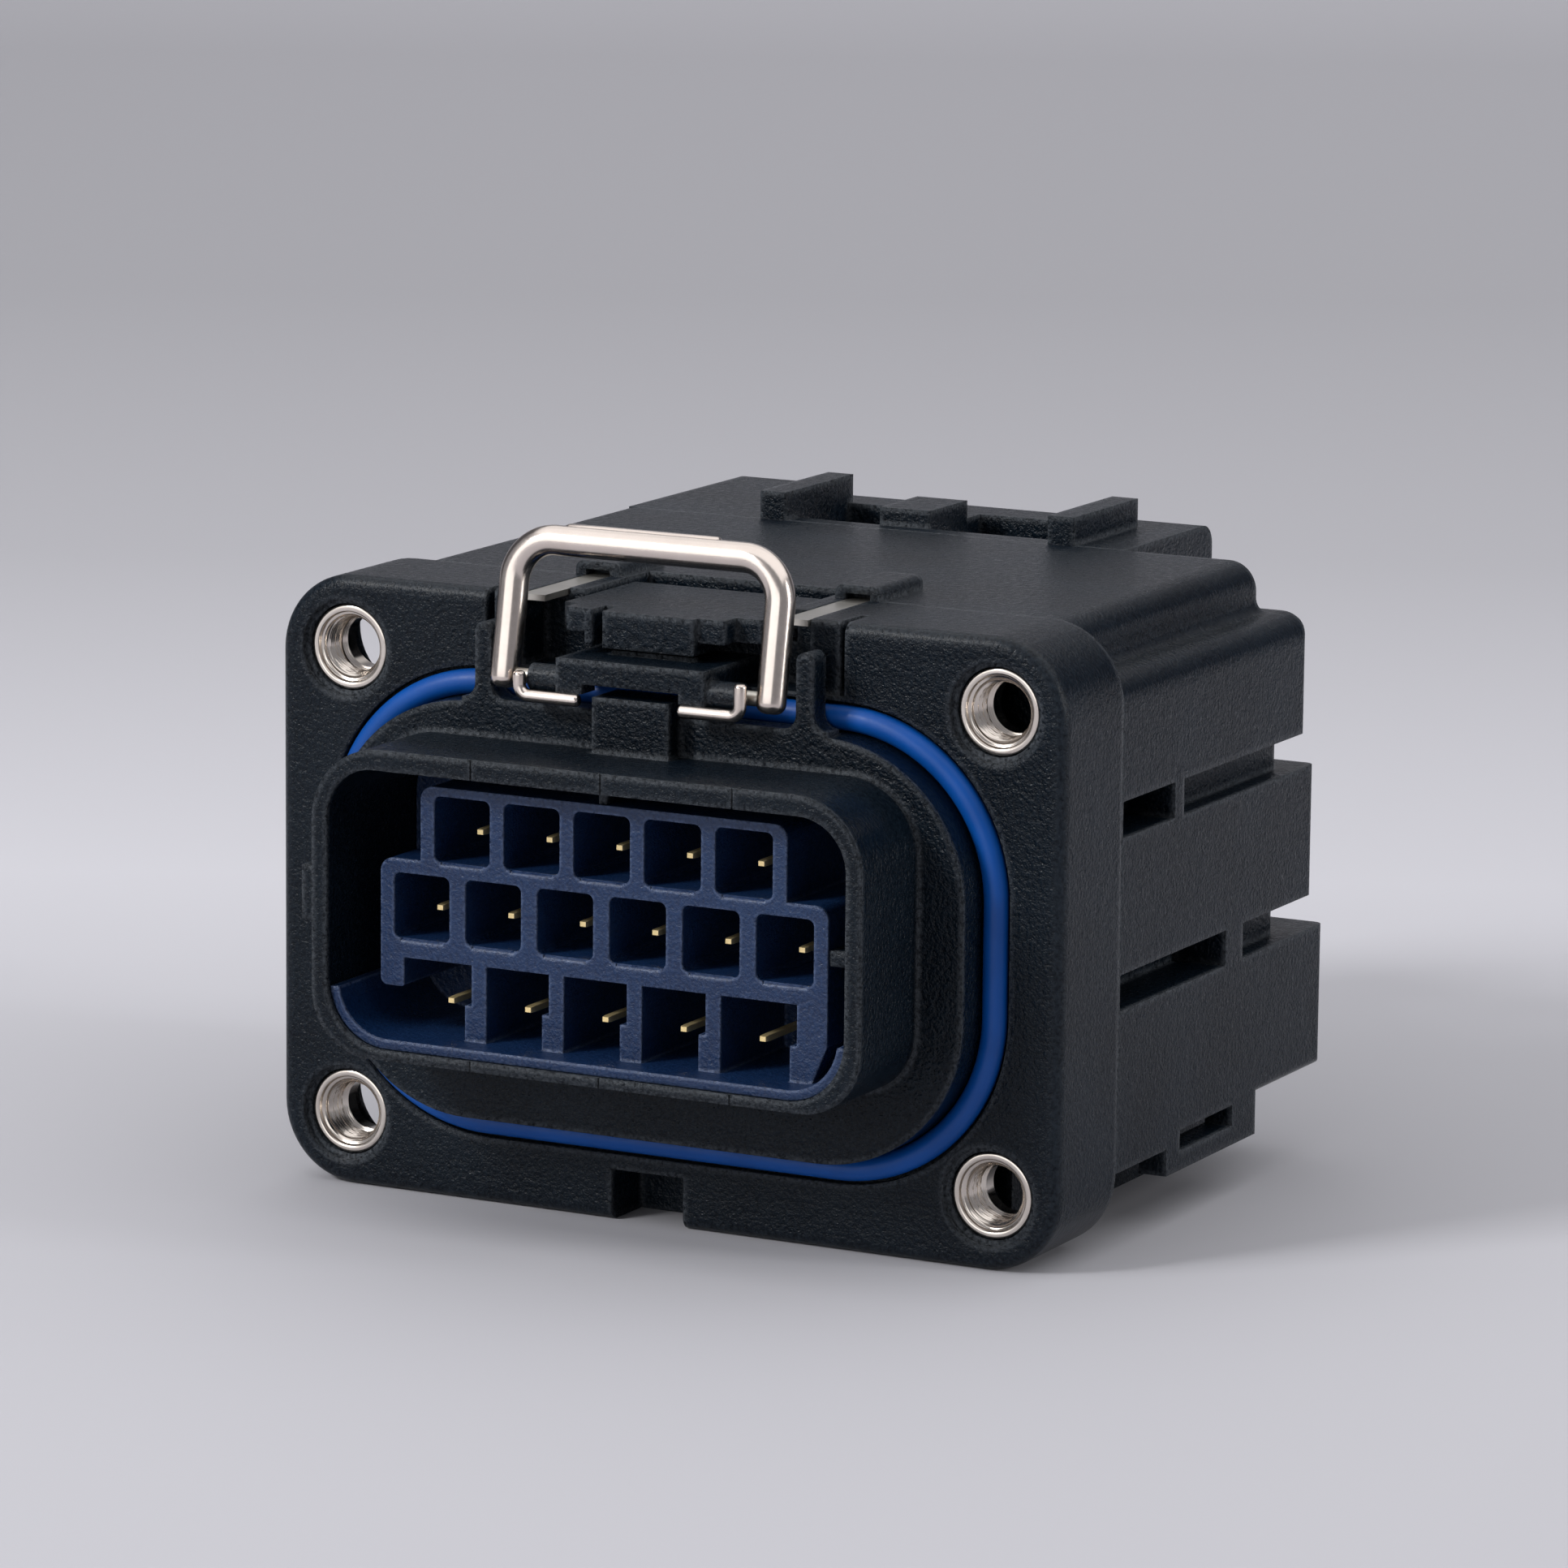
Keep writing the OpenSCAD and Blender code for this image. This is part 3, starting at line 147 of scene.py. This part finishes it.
def bump(tree, height, strength, distance, below=None):
    """Bump on top of the normal below it; its strength is a number or another node's output."""
    made = add(tree, "ShaderNodeBump", Distance=distance)
    if isinstance(strength, float):
        made.inputs["Strength"].default_value = strength
    else:
        tree.links.new(strength, made.inputs["Strength"])
    tree.links.new(height, made.inputs["Height"])
    if below is not None:
        tree.links.new(below, made.inputs["Normal"])
    return made.outputs["Normal"]


def soft_edge(tree, radius):
    made = add(tree, "ShaderNodeBevel", Radius=radius, samples=BEVEL_SAMPLES)
    return made.outputs["Normal"]


def rub_and_highlight_mask(tree, smooth, patches):
    """How far a point lies on a softened edge, from 0 on a flat to 1, in broken patches."""
    flat = add(tree, "ShaderNodeNewGeometry")
    turn = add(tree, "ShaderNodeVectorMath", operation="DOT_PRODUCT")
    tree.links.new(smooth, turn.inputs[0])
    tree.links.new(flat.outputs["Normal"], turn.inputs[1])
    edge = map_range(tree, turn.outputs["Value"], From_Min=0.99, From_Max=0.85)
    broken = map_range(tree, patches, From_Min=0.3, From_Max=0.6)
    return math_node(tree, "MULTIPLY", edge, broken)


def rounded(tree):
    """How far a face points between the part's main axes, from 0 on a flat to 1 on a round."""
    coords = add(tree, "ShaderNodeTexCoord")
    size = add(tree, "ShaderNodeVectorMath", operation="ABSOLUTE")
    tree.links.new(coords.outputs["Normal"], size.inputs[0])
    split = add(tree, "ShaderNodeSeparateXYZ")
    tree.links.new(size.outputs["Vector"], split.inputs["Vector"])
    pair = math_node(tree, "MAXIMUM", split.outputs["X"], split.outputs["Y"])
    most = math_node(tree, "MAXIMUM", pair, split.outputs["Z"])
    return map_range(tree, most, From_Min=0.99, From_Max=0.9)


# Materials

# Scale of the slow colour drift in plastic, and how much of it is mixed into the fine grain
DRIFT_SCALE = 90
DRIFT_SHARE = 0.35
# Scales of the coarse grain and of the gloss, as shares of the fine grain's
COARSE_SHARE = 0.33
GLOSS_SHARE = 0.6
# Depth of the coarse grain, as a share of the fine grain's
COARSE_DEPTH = 0.8
# Strength of the coarse and the fine grain on flats and on edges
COARSE_STRENGTH = (0.5, 0.12)
FINE_STRENGTH = (0.75, 0.22)
# Roughness of plastic on its rounded and rubbed edges
POLISHED = 0.24
# Ends of the plastic's speckle, of the streaks in metal and of the turned rings
SPECKLE_SPREAD = (0.36, 0.64)
STREAK_SPREAD = (0.3, 0.75)
RING_SPREAD = (0.2, 0.8)


def moulded(name, dark, light, wear_and_highlight_colour, rough, grain, grain_depth, edge, specular):
    """Moulded plastic: eroded grain, slow colour drift, uneven gloss and soft edges, lightened as
    rubbed wear and as a painted highlight.
    """
    mat, tree, shader = node_tree(name)
    place = object_coords(tree)
    drift = noise(tree, place, DRIFT_SCALE, detail=2)
    fine = noise(tree, place, grain, detail=2, roughness=0.65)
    coarse = noise(tree, place, grain * COARSE_SHARE, detail=1)
    gloss = noise(tree, place, grain * GLOSS_SHARE, detail=1)
    smooth = soft_edge(tree, edge)
    rub_and_highlight = rub_and_highlight_mask(tree, smooth, fine)
    polish = math_node(tree, "MAXIMUM", rub_and_highlight, rounded(tree))

    speckle = add(tree, "ShaderNodeMix", data_type="FLOAT")
    speckle.inputs[MIX_FACTOR].default_value = DRIFT_SHARE
    tree.links.new(fine, speckle.inputs[FLOAT_A])
    tree.links.new(drift, speckle.inputs[FLOAT_B])
    colour = colour_ramp(tree, speckle.outputs[FLOAT_OUT], dark, light, SPECKLE_SPREAD)
    # Edges lighten towards the edge colour: partly rubbed wear, partly a painted highlight.
    rubbed_and_highlighted = add(tree, "ShaderNodeMix", data_type="RGBA")
    tree.links.new(rub_and_highlight, rubbed_and_highlighted.inputs[MIX_FACTOR])
    tree.links.new(colour, rubbed_and_highlighted.inputs[COLOUR_A])
    rubbed_and_highlighted.inputs[COLOUR_B].default_value = (*wear_and_highlight_colour, 1)
    tree.links.new(rubbed_and_highlighted.outputs[COLOUR_OUT], shader.inputs["Base Color"])

    polished = add(tree, "ShaderNodeMix", data_type="FLOAT")
    tree.links.new(polish, polished.inputs[MIX_FACTOR])
    tree.links.new(level_ramp(tree, gloss, rough), polished.inputs[FLOAT_A])
    polished.inputs[FLOAT_B].default_value = POLISHED
    tree.links.new(polished.outputs[FLOAT_OUT], shader.inputs["Roughness"])

    normal = smooth
    for height, (flat, edged), depth in (
        (coarse, COARSE_STRENGTH, grain_depth * COARSE_DEPTH),
        (fine, FINE_STRENGTH, grain_depth),
    ):
        calm = map_range(tree, polish, To_Min=flat, To_Max=edged)
        normal = bump(tree, height, calm, depth, normal)
    tree.links.new(normal, shader.inputs["Normal"])
    shader.inputs["Specular IOR Level"].default_value = specular
    return mat


def metal(name, dark, light, rough, streak, depth, metallic=1.0):
    """Plated or drawn metal: fine streaks, cloudy colour and tiny pits."""
    mat, tree, shader = node_tree(name)
    cloudy = noise(tree, object_coords(tree), scale=300, detail=4, roughness=0.6)
    lines = noise(tree, object_coords(tree, streak), scale=2600, detail=3, roughness=0.6)
    pits = noise(tree, object_coords(tree), scale=5200)
    tree.links.new(colour_ramp(tree, cloudy, dark, light), shader.inputs["Base Color"])
    tree.links.new(level_ramp(tree, lines, rough, STREAK_SPREAD), shader.inputs["Roughness"])
    pitted = bump(tree, pits, strength=0.35, distance=depth)
    streaked = bump(tree, lines, strength=0.5, distance=depth, below=pitted)
    tree.links.new(streaked, shader.inputs["Normal"])
    shader.inputs["Metallic"].default_value = metallic
    return mat


def turned(name, dark, light, rough, depth):
    """Plated metal turned on a lathe: fine rings round the Y axis and a soft cloud."""
    mat, tree, shader = node_tree(name)
    place = object_coords(tree)
    wave = add(
        tree, "ShaderNodeTexWave", wave_type="RINGS", rings_direction="Y",
        Scale=2200.0, Distortion=0.6, Detail=1.0,
    )
    tree.links.new(place, wave.inputs["Vector"])
    rings = wave.outputs["Fac"]
    cloudy = noise(tree, place, scale=420, detail=3)
    tree.links.new(colour_ramp(tree, cloudy, dark, light), shader.inputs["Base Color"])
    tree.links.new(level_ramp(tree, rings, rough, RING_SPREAD), shader.inputs["Roughness"])
    grooved = bump(tree, rings, strength=0.5, distance=depth)
    tree.links.new(grooved, shader.inputs["Normal"])
    shader.inputs["Metallic"].default_value = 1.0
    return mat


def silicone(name, dark, light, rough, depth, specular):
    """Silicone cord: satin skin with a faint cloud and fine pores."""
    mat, tree, shader = node_tree(name)
    place = object_coords(tree)
    cloudy = noise(tree, place, scale=160, detail=3)
    pores = noise(tree, place, scale=2400)
    tree.links.new(colour_ramp(tree, cloudy, dark, light), shader.inputs["Base Color"])
    tree.links.new(level_ramp(tree, pores, rough), shader.inputs["Roughness"])
    porous = bump(tree, pores, strength=0.3, distance=depth)
    tree.links.new(porous, shader.inputs["Normal"])
    shader.inputs["Specular IOR Level"].default_value = specular
    return mat


# The edge colours below stand for rubbed wear and a painted highlight along the edges.
black = moulded(
    "black_plastic",
    dark=(0.0004, 0.0020, 0.0048), light=(0.0052, 0.0100, 0.0165),
    wear_and_highlight_colour=(0.105, 0.117, 0.133), rough=(0.25, 0.37),
    grain=3000, grain_depth=0.00026, edge=0.0008, specular=0.15,
)
navy = moulded(
    "navy_plastic",
    dark=(0.003, 0.014, 0.052), light=(0.008, 0.029, 0.090),
    wear_and_highlight_colour=(0.150, 0.200, 0.340), rough=(0.30, 0.44),
    grain=3600, grain_depth=0.00014, edge=0.0004, specular=0.36,
)
blue = silicone(
    "blue_silicone",
    dark=(0.0002, 0.052, 0.25), light=(0.0004, 0.070, 0.33),
    rough=(0.38, 0.50), depth=0.00002, specular=0.3,
)
nickel = metal(
    "satin_nickel",
    dark=(0.61, 0.535, 0.485), light=(0.67, 0.595, 0.545),
    rough=(0.19, 0.25), streak=(1, 1, 1), depth=0.0000002,
)
bushed = turned(
    "turned_nickel",
    dark=(0.60, 0.54, 0.49), light=(0.70, 0.64, 0.58),
    rough=(0.17, 0.25), depth=0.000004,
)
steel = metal(
    "spring_steel",
    dark=(0.44, 0.42, 0.38), light=(0.52, 0.50, 0.46),
    rough=(0.30, 0.40), streak=(0.15, 1, 1), depth=0.000001,
)
gold = metal(
    "gold_plate",
    dark=(0.96, 0.72, 0.32), light=(1.0, 0.82, 0.46),
    rough=(0.28, 0.38), streak=(1, 0.2, 1), depth=0.000001, metallic=0.7,
)

SLOT_MATERIAL = {
    "black_plastic": black,
    "navy_plastic": navy,
    "blue_rubber": blue,
    "nickel": nickel,
    "spring_steel": steel,
    "gold": gold,
}
for part in frame["record"]["subparts"]:
    obj = nodes[part["node"]]
    obj.data.materials.clear()
    obj.data.materials.append(SLOT_MATERIAL[part["material_slot"]])


# Pieces of the scene, which take the place of plain solids or are added to them

def finished(name, bm):
    """Smooth mesh from a bmesh, with its faces turned outwards."""
    bmesh.ops.recalc_face_normals(bm, faces=bm.faces)
    mesh = bpy.data.meshes.new(name)
    bm.to_mesh(mesh)
    bm.free()
    for poly in mesh.polygons:
        poly.use_smooth = True
    return mesh


def ring_mesh(name, rings, crease, meets=False):
    """Skin over rings of points, capped at both ends unless its last ring meets its first."""
    bm = bmesh.new()
    loops = [[bm.verts.new(point) for point in ring] for ring in rings]
    for a, b in zip(loops, loops[1:]):
        for i in range(len(a)):
            j = (i + 1) % len(a)
            bm.faces.new((a[i], a[j], b[j], b[i]))
    if meets:
        bmesh.ops.remove_doubles(bm, verts=bm.verts, dist=1e-7)
    else:
        bm.faces.new(loops[0])
        bm.faces.new(loops[-1])
    mesh = finished(name, bm)
    mesh.set_sharp_from_angle(angle=math.radians(crease))
    return mesh


def add_piece(mesh, body, node, material, location=(0, 0, 0), turn=0.0):
    """Object named like its mesh, riding a body and taking the place of a node, if one is given."""
    obj = bpy.data.objects.new(mesh.name, mesh)
    obj.location = location
    obj.rotation_euler = (0, turn, 0)
    obj.data.materials.append(material)
    scene.collection.objects.link(obj)
    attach(obj, body)
    if node:
        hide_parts(node)


# Threaded bushes with a turned mouth, in mm

BUSH_SIDES = 72
# Radius and depth, from the back of a bush along its outside to the start of the thread
BUSH_OUTSIDE = [
    (2.15, 5.4), (3.3, 5.4), (3.48, 5.2), (3.48, 0.95), (3.44, 0.84), (3.36, 0.76), (3.26, 0.72),
    (3.02, 0.72), (2.92, 0.76), (2.86, 0.84), (2.84, 1.05), (2.8, 1.1), (2.66, 1.12), (2.6, 1.18),
]
# The same for the plain bore, from the end of the thread to the back
BUSH_BORE = [(2.4, 3.95), (2.15, 4.1), (2.15, 5.4)]
THREAD_R = 2.56
THREAD_FROM = 1.22
THREAD_LEN = 2.6
THREAD_PITCH = 0.7
THREAD_DEPTH = 0.34
THREAD_SHARP = 1.2
THREAD_ROWS = 64
# The thread fades in, and out again, over one part in this many of its length
THREAD_FADE = 8
# Angle between the thread starts of one bush and the next, in radians
BUSH_TURN = 1.3
BUSH_CREASE = 50


def bush_mesh(name):
    """Lathe-turned bush with a single-start thread in its mouth and a plain bore behind it."""
    rows = [(r, y, 0) for r, y in BUSH_OUTSIDE]
    for k in range(THREAD_ROWS + 1):
        fade_in = THREAD_FADE * k / THREAD_ROWS
        fade_out = THREAD_FADE * (THREAD_ROWS - k) / THREAD_ROWS
        depth = THREAD_FROM + THREAD_LEN * k / THREAD_ROWS
        rows.append((THREAD_R, depth, min(1.0, fade_in, fade_out)))
    rows += [(r, y, 0) for r, y in BUSH_BORE]
    rings = []
    for r, y, thread in rows:
        ring = []
        for i in range(BUSH_SIDES):
            a = 2 * math.pi * i / BUSH_SIDES
            rr = r
            if thread:
                phase = (y / THREAD_PITCH - i / BUSH_SIDES) % 1.0
                rr = r - THREAD_DEPTH * thread * (1 - abs(2 * phase - 1)) ** THREAD_SHARP
            ring.append((rr * MM * math.cos(a), y * MM, rr * MM * math.sin(a)))
        rings.append(ring)
    return ring_mesh(name, rings, BUSH_CREASE, meets=True)


for k in range(1, 5):
    low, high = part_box(f"bush_{k}")
    add_piece(
        bush_mesh(f"turned_bush_{k}"), "housing", f"bush_{k}", bushed,
        location=((low.x + high.x) / 2, low.y, (low.z + high.z) / 2), turn=k * BUSH_TURN,
    )


# Wire bail and its two clips, swept along their bends, in mm

WIRE_CREASE = 60


def wire_mesh(name, path, sides=32):
    """Round wire along a path of points and radii, closed at both ends."""
    points = [Vector(p[:3]) for p in path]
    side = Vector((0, 1, 0))
    rings = []
    for k, point in enumerate(points):
        along = (points[min(k + 1, len(points) - 1)] - points[max(k - 1, 0)]).normalized()
        side = (side - along * side.dot(along)).normalized()
        other = along.cross(side)
        ring = []
        for i in range(sides):
            a = 2 * math.pi * i / sides
            out = side * math.cos(a) + other * math.sin(a)
            ring.append((point + out * path[k][3]) * MM)
        rings.append(ring)
    return ring_mesh(name, rings, WIRE_CREASE)


def round_end(start, step, radius, fillet, steps=6):
    """Points and radii of a wire end whose rim is rounded, from its tip inwards."""
    rows = []
    for k in range(steps + 1):
        a = math.pi / 2 * k / steps
        point = start + step * fillet * (1 - math.cos(a))
        rows.append((*point, radius - fillet + fillet * math.sin(a)))
    return rows


def bend(centre, radius, turn_from, turn_to, wire, steps=14):
    """Points and radii of a bend in the plane of x and z, between two angles in degrees."""
    rows = []
    for k in range(steps + 1):
        a = math.radians(turn_from + (turn_to - turn_from) * k / steps)
        x = centre.x + radius * math.cos(a)
        z = centre.z + radius * math.sin(a)
        rows.append((x, centre.y, z, wire))
    return rows


# Bail: pivot, lean back, wire radius, half its width, height of its bar and radius of its bends
PIVOT = Vector((0, -4.1, 19.2))
LEAN = math.radians(10)
WIRE = 1.2
HALF = 11.8
REACH = 10.8
BEND = 3.4
# Length of a leg below the pivot and rounding of its end
LEG_BELOW = 1.1
LEG_FILLET = 0.85
# Heights of the points along a leg, and places across of those along half the bar
LEG_POINTS = (0.5, 2.5, 4.5, 6.2)
BAR_POINTS = (-6, -3)
# Raised land on the bar: place across and radius, height above the bar, place and stretch in depth
LAND = [
    (-7.6, 0.12), (-7.5, 0.3), (-7.3, 0.36), (-4, 0.36), (0, 0.36),
    (3, 0.36), (5.7, 0.36), (5.85, 0.3), (5.95, 0.12),
]
LAND_RISE = 1.05
LAND_Y = 0.35
LAND_STRETCH = 1.7
LAND_SIDES = 20

tilt = Matrix.Translation(PIVOT * MM) @ Matrix.Rotation(-LEAN, 4, "X")
half = round_end(Vector((-HALF, 0, -LEG_BELOW)), Vector((0, 0, 1)), WIRE, LEG_FILLET)
half += [(-HALF, 0, z, WIRE) for z in LEG_POINTS]
half += bend(Vector((-HALF + BEND, 0, REACH - BEND)), BEND, 180, 90, WIRE)
half += [(x, 0, REACH, WIRE) for x in BAR_POINTS]
whole = half + [(0, 0, REACH, WIRE)] + [(-x, y, z, r) for x, y, z, r in reversed(half)]
loop = wire_mesh("wire_bail", whole)
loop.transform(tilt)
add_piece(loop, "bail", "bail", nickel)

pad = [(x, LAND_Y, REACH + LAND_RISE, r) for x, r in LAND]
land = wire_mesh("bail_land", pad, LAND_SIDES)
for vert in land.vertices:
    vert.co.y = LAND_Y * MM + (vert.co.y - LAND_Y * MM) * LAND_STRETCH
land.transform(tilt)
add_piece(land, "bail", None, nickel)

# Clips: wire radius, rounding of its ends, place of the upright arm and of the inner end across
CLIP_WIRE = 0.52
CLIP_FILLET = 0.3
CLIP_ARM = 9.8
CLIP_INNER = 4.4
CLIP_BEND = 0.9
CLIP_BEND_STEPS = 10
CLIP_POINTS = (7.5, 6)
CLIP_Y = -5.5
CLIP_Z = 17.9
# Height of the upright arm on the left and on the right
CLIP_RISE = {"left": 1.9, "right": 2.6}
# Pins of the bail: wire radius and places of the points across
PIN_WIRE = 0.6
PIN_POINTS = (7.5, 9, 10.5, 11.6)
SMALL_SIDES = 24

for name, side in (("left", -1), ("right", 1)):
    top = Vector((CLIP_ARM, 0, CLIP_RISE[name]))
    arm = round_end(top, Vector((0, 0, -1)), CLIP_WIRE, CLIP_FILLET)
    corner = Vector((CLIP_ARM - CLIP_BEND, 0, CLIP_BEND))
    arm += bend(corner, CLIP_BEND, 0, -90, CLIP_WIRE, CLIP_BEND_STEPS)
    arm += [(x, 0, 0, CLIP_WIRE) for x in CLIP_POINTS]
    inner = round_end(Vector((CLIP_INNER, 0, 0)), Vector((1, 0, 0)), CLIP_WIRE, CLIP_FILLET)
    arm += list(reversed(inner))
    arm = [(side * x, y + CLIP_Y, z + CLIP_Z, r) for x, y, z, r in arm]
    clip = wire_mesh(f"wire_clip_{name}", arm, SMALL_SIDES)
    add_piece(clip, "housing", f"pivot_clip_{name}", nickel)
    pivot_end = [(side * x, PIVOT.y, PIVOT.z, PIN_WIRE) for x in PIN_POINTS]
    pin = wire_mesh(f"bail_pin_{name}", pivot_end, SMALL_SIDES)
    # The pins are spring steel, a real pin finish whose darker colour also stands in as painted
    # shade where they lie between boss and leg.
    add_piece(pin, "bail", None, steel)


# Gold contacts: tapered pin, square body and open crimp barrel, in mm

# Half width, half height and corner radius of each section
TIP = (0.25, 0.19, 0.03)
TIP_EDGE = (0.29, 0.22, 0.04)
PIN = (0.32, 0.25, 0.05)
BODY_FACE = (0.85, 0.85, 0.1)
BODY = (0.98, 0.98, 0.14)
BODY_BACK = (0.9, 0.9, 0.2)
BARREL = (1.03, 1.03, 1.03)
BARREL_RIM = (0.96, 0.96, 0.96)
BORE_RIM = (0.84, 0.84, 0.84)
BORE = (0.78, 0.78, 0.78)
# Depth of the front of a contact's body
BODY_Y = 10.55
CORNER_POINTS = 6
CONTACT_CREASE = 40


def section(half_w, half_h, corner):
    """Rounded rectangle as points of x and z."""
    points = []
    for k, (sx, sz) in enumerate(((1, 1), (-1, 1), (-1, -1), (1, -1))):
        for i in range(CORNER_POINTS):
            a = math.pi / 2 * (k + i / (CORNER_POINTS - 1))
            x = sx * (half_w - corner) + corner * math.cos(a)
            z = sz * (half_h - corner) + corner * math.sin(a)
            points.append((x, z))
    return points


def contact_mesh(name, tip, back, end):
    """One contact along y: tip of the pin, front of the body and end of the barrel."""
    rows = [
        (tip, TIP), (tip + 0.05, TIP_EDGE), (tip + 0.6, PIN), (back - 0.1, PIN),
        (back, BODY_FACE), (back + 0.12, BODY), (back + 8.7, BODY), (back + 8.85, BODY_BACK),
        (back + 8.95, BARREL), (end - 0.15, BARREL), (end, BARREL_RIM),
        (end, BORE_RIM), (end - 0.15, BORE), (back + 9.6, BORE),
    ]
    rings = [[(x * MM, y * MM, z * MM) for x, z in section(*sizes)] for y, sizes in rows]
    return ring_mesh(name, rings, CONTACT_CREASE)


for part in frame["record"]["subparts"]:
    node = part["node"]
    if node.startswith("contact_") and part["material_slot"] == "gold":
        low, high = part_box(node)
        add_piece(
            contact_mesh("gold_" + node, low.y / MM, BODY_Y, high.y / MM),
            "housing", node, gold,
            location=((low.x + high.x) / 2, 0, (low.z + high.z) / 2),
        )


# Stage, in metres

FLOOR_HALF = 6.0
FLOOR_FRONT = -6.0
FLOOR_BACK = 2.6
FLOOR_TOP = 5.0
FLOOR_SWEEP = 1.2
FLOOR_STEPS = 24
# Gap below the part, and turn of the floor towards the camera
FLOOR_GAP = 0.00002
FLOOR_TURN = math.radians(27.5)
# Length of floor behind the part over which its grey runs
FLOOR_DEPTH = 2.0
# Share of that length and grey level; the grey's rise and fall is painted shade and light for the
# fall of light over floor and backdrop
FLOOR_SHADED_GREY = [
    (0.03, 0.47), (0.07, 0.56), (0.10, 0.52), (0.17, 0.425),
    (0.30, 0.385), (0.50, 0.44), (0.65, 0.58),
]
FLOOR_TINT = (1, 0.99, 1.065)


def sweep_floor():
    """Seamless floor that curves up into a backdrop behind the object."""
    bend_y = FLOOR_BACK - FLOOR_SWEEP
    profile = [(FLOOR_FRONT, 0.0), (bend_y, 0.0)]
    for k in range(1, FLOOR_STEPS + 1):
        a = math.pi / 2 * k / FLOOR_STEPS
        rise = FLOOR_SWEEP - FLOOR_SWEEP * math.cos(a)
        profile.append((bend_y + FLOOR_SWEEP * math.sin(a), rise))
    profile.append((FLOOR_BACK, FLOOR_TOP))
    bm = bmesh.new()
    rows = [[bm.verts.new((x, y, z)) for x in (-FLOOR_HALF, FLOOR_HALF)] for y, z in profile]
    for a, b in zip(rows, rows[1:]):
        bm.faces.new((a[0], a[1], b[1], b[0]))
    return finished("floor", bm)


def shaded_studio_grey():
    """Matt grey that runs darker and lighter again with the distance behind the part, as painted
    shade and light.
    """
    mat, tree, shader = node_tree("shaded_studio_grey")
    split = add(tree, "ShaderNodeSeparateXYZ")
    tree.links.new(object_coords(tree), split.inputs["Vector"])
    along = map_range(tree, split.outputs["Y"], From_Min=0.0, From_Max=FLOOR_DEPTH)
    stops = [(at, tuple(grey * tint for tint in FLOOR_TINT)) for at, grey in FLOOR_SHADED_GREY]
    tree.links.new(ramp(tree, along, stops), shader.inputs["Base Color"])
    shader.inputs["Roughness"].default_value = 0.7
    shader.inputs["Specular IOR Level"].default_value = 0.2
    return mat


floor = bpy.data.objects.new("floor", sweep_floor())
floor.location = (0, 0, cad_box[0][2] - FLOOR_GAP)
floor.rotation_euler = (0, 0, FLOOR_TURN)
floor.data.materials.append(shaded_studio_grey())
scene.collection.objects.link(floor)


def area(name, place, aim, power, width, height=None):
    """Area light at a place, aimed at a point: a square, or a rectangle where a height is given."""
    lamp = bpy.data.lights.new(name, "AREA")
    lamp.energy = power
    lamp.shape = "RECTANGLE" if height else "SQUARE"
    lamp.size = width
    if height:
        lamp.size_y = height
    obj = bpy.data.objects.new(name, lamp)
    obj.location = place
    obj.rotation_euler = (Vector(aim) - Vector(place)).to_track_quat("-Z", "Y").to_euler()
    scene.collection.objects.link(obj)


area("overhead", place=(0.14, 0.55, 1.25), aim=(0.14, 0.55, 0), power=29.0, width=2.8)
area("front", place=(-0.2, -1.13, 0.26), aim=(0, 0, 0), power=3.6, width=1.5, height=0.5)
area("key", place=(-0.5, -0.72, 0.62), aim=(0, 0, 0), power=7.5, width=0.24)
area("strip_right", place=(1.06, 0.19, 0.3), aim=(0, 0, 0), power=4.4, width=0.16, height=0.6)

# Strength of the world as light, and as seen in reflections
WORLD_COLOUR = (0.62, 0.63, 0.68, 1)
WORLD_LIGHT = 0.12
WORLD_SHINE = 0.45

world = bpy.data.worlds.new("studio")
scene.world = world
world.use_nodes = True
tree = world.node_tree
background = tree.nodes["Background"]
background.inputs["Color"].default_value = WORLD_COLOUR
ray = add(tree, "ShaderNodeLightPath")
level = map_range(tree, ray.outputs["Is Glossy Ray"], To_Min=WORLD_LIGHT, To_Max=WORLD_SHINE)
tree.links.new(level, background.inputs["Strength"])


# Camera, as measured in the photograph

AZIMUTH, ELEVATION, ROLL = (math.radians(a) for a in (27.525, 10.712, 0.558))
TARGET = Vector((0.010813, 0, 0.011854))
DISTANCE = 0.59966
LENS = 176.6
SENSOR = 36

back = Vector((
    math.sin(AZIMUTH) * math.cos(ELEVATION),
    -math.cos(AZIMUTH) * math.cos(ELEVATION),
    math.sin(ELEVATION),
))
right = Vector((math.cos(AZIMUTH), math.sin(AZIMUTH), 0))
up = back.cross(right)
cam_x = right * math.cos(ROLL) + up * math.sin(ROLL)
cam_y = up * math.cos(ROLL) - right * math.sin(ROLL)
view = bpy.data.cameras.new("camera")
view.lens = LENS
view.sensor_width = SENSOR
view.sensor_fit = "HORIZONTAL"
view.clip_start = 0.05
view.clip_end = 30
camera = bpy.data.objects.new("camera", view)
facing = Matrix((cam_x, cam_y, back)).transposed().to_4x4()
camera.matrix_world = Matrix.Translation(TARGET + back * DISTANCE) @ facing
scene.collection.objects.link(camera)
scene.camera = camera
scene.view_settings.view_transform = "Standard"
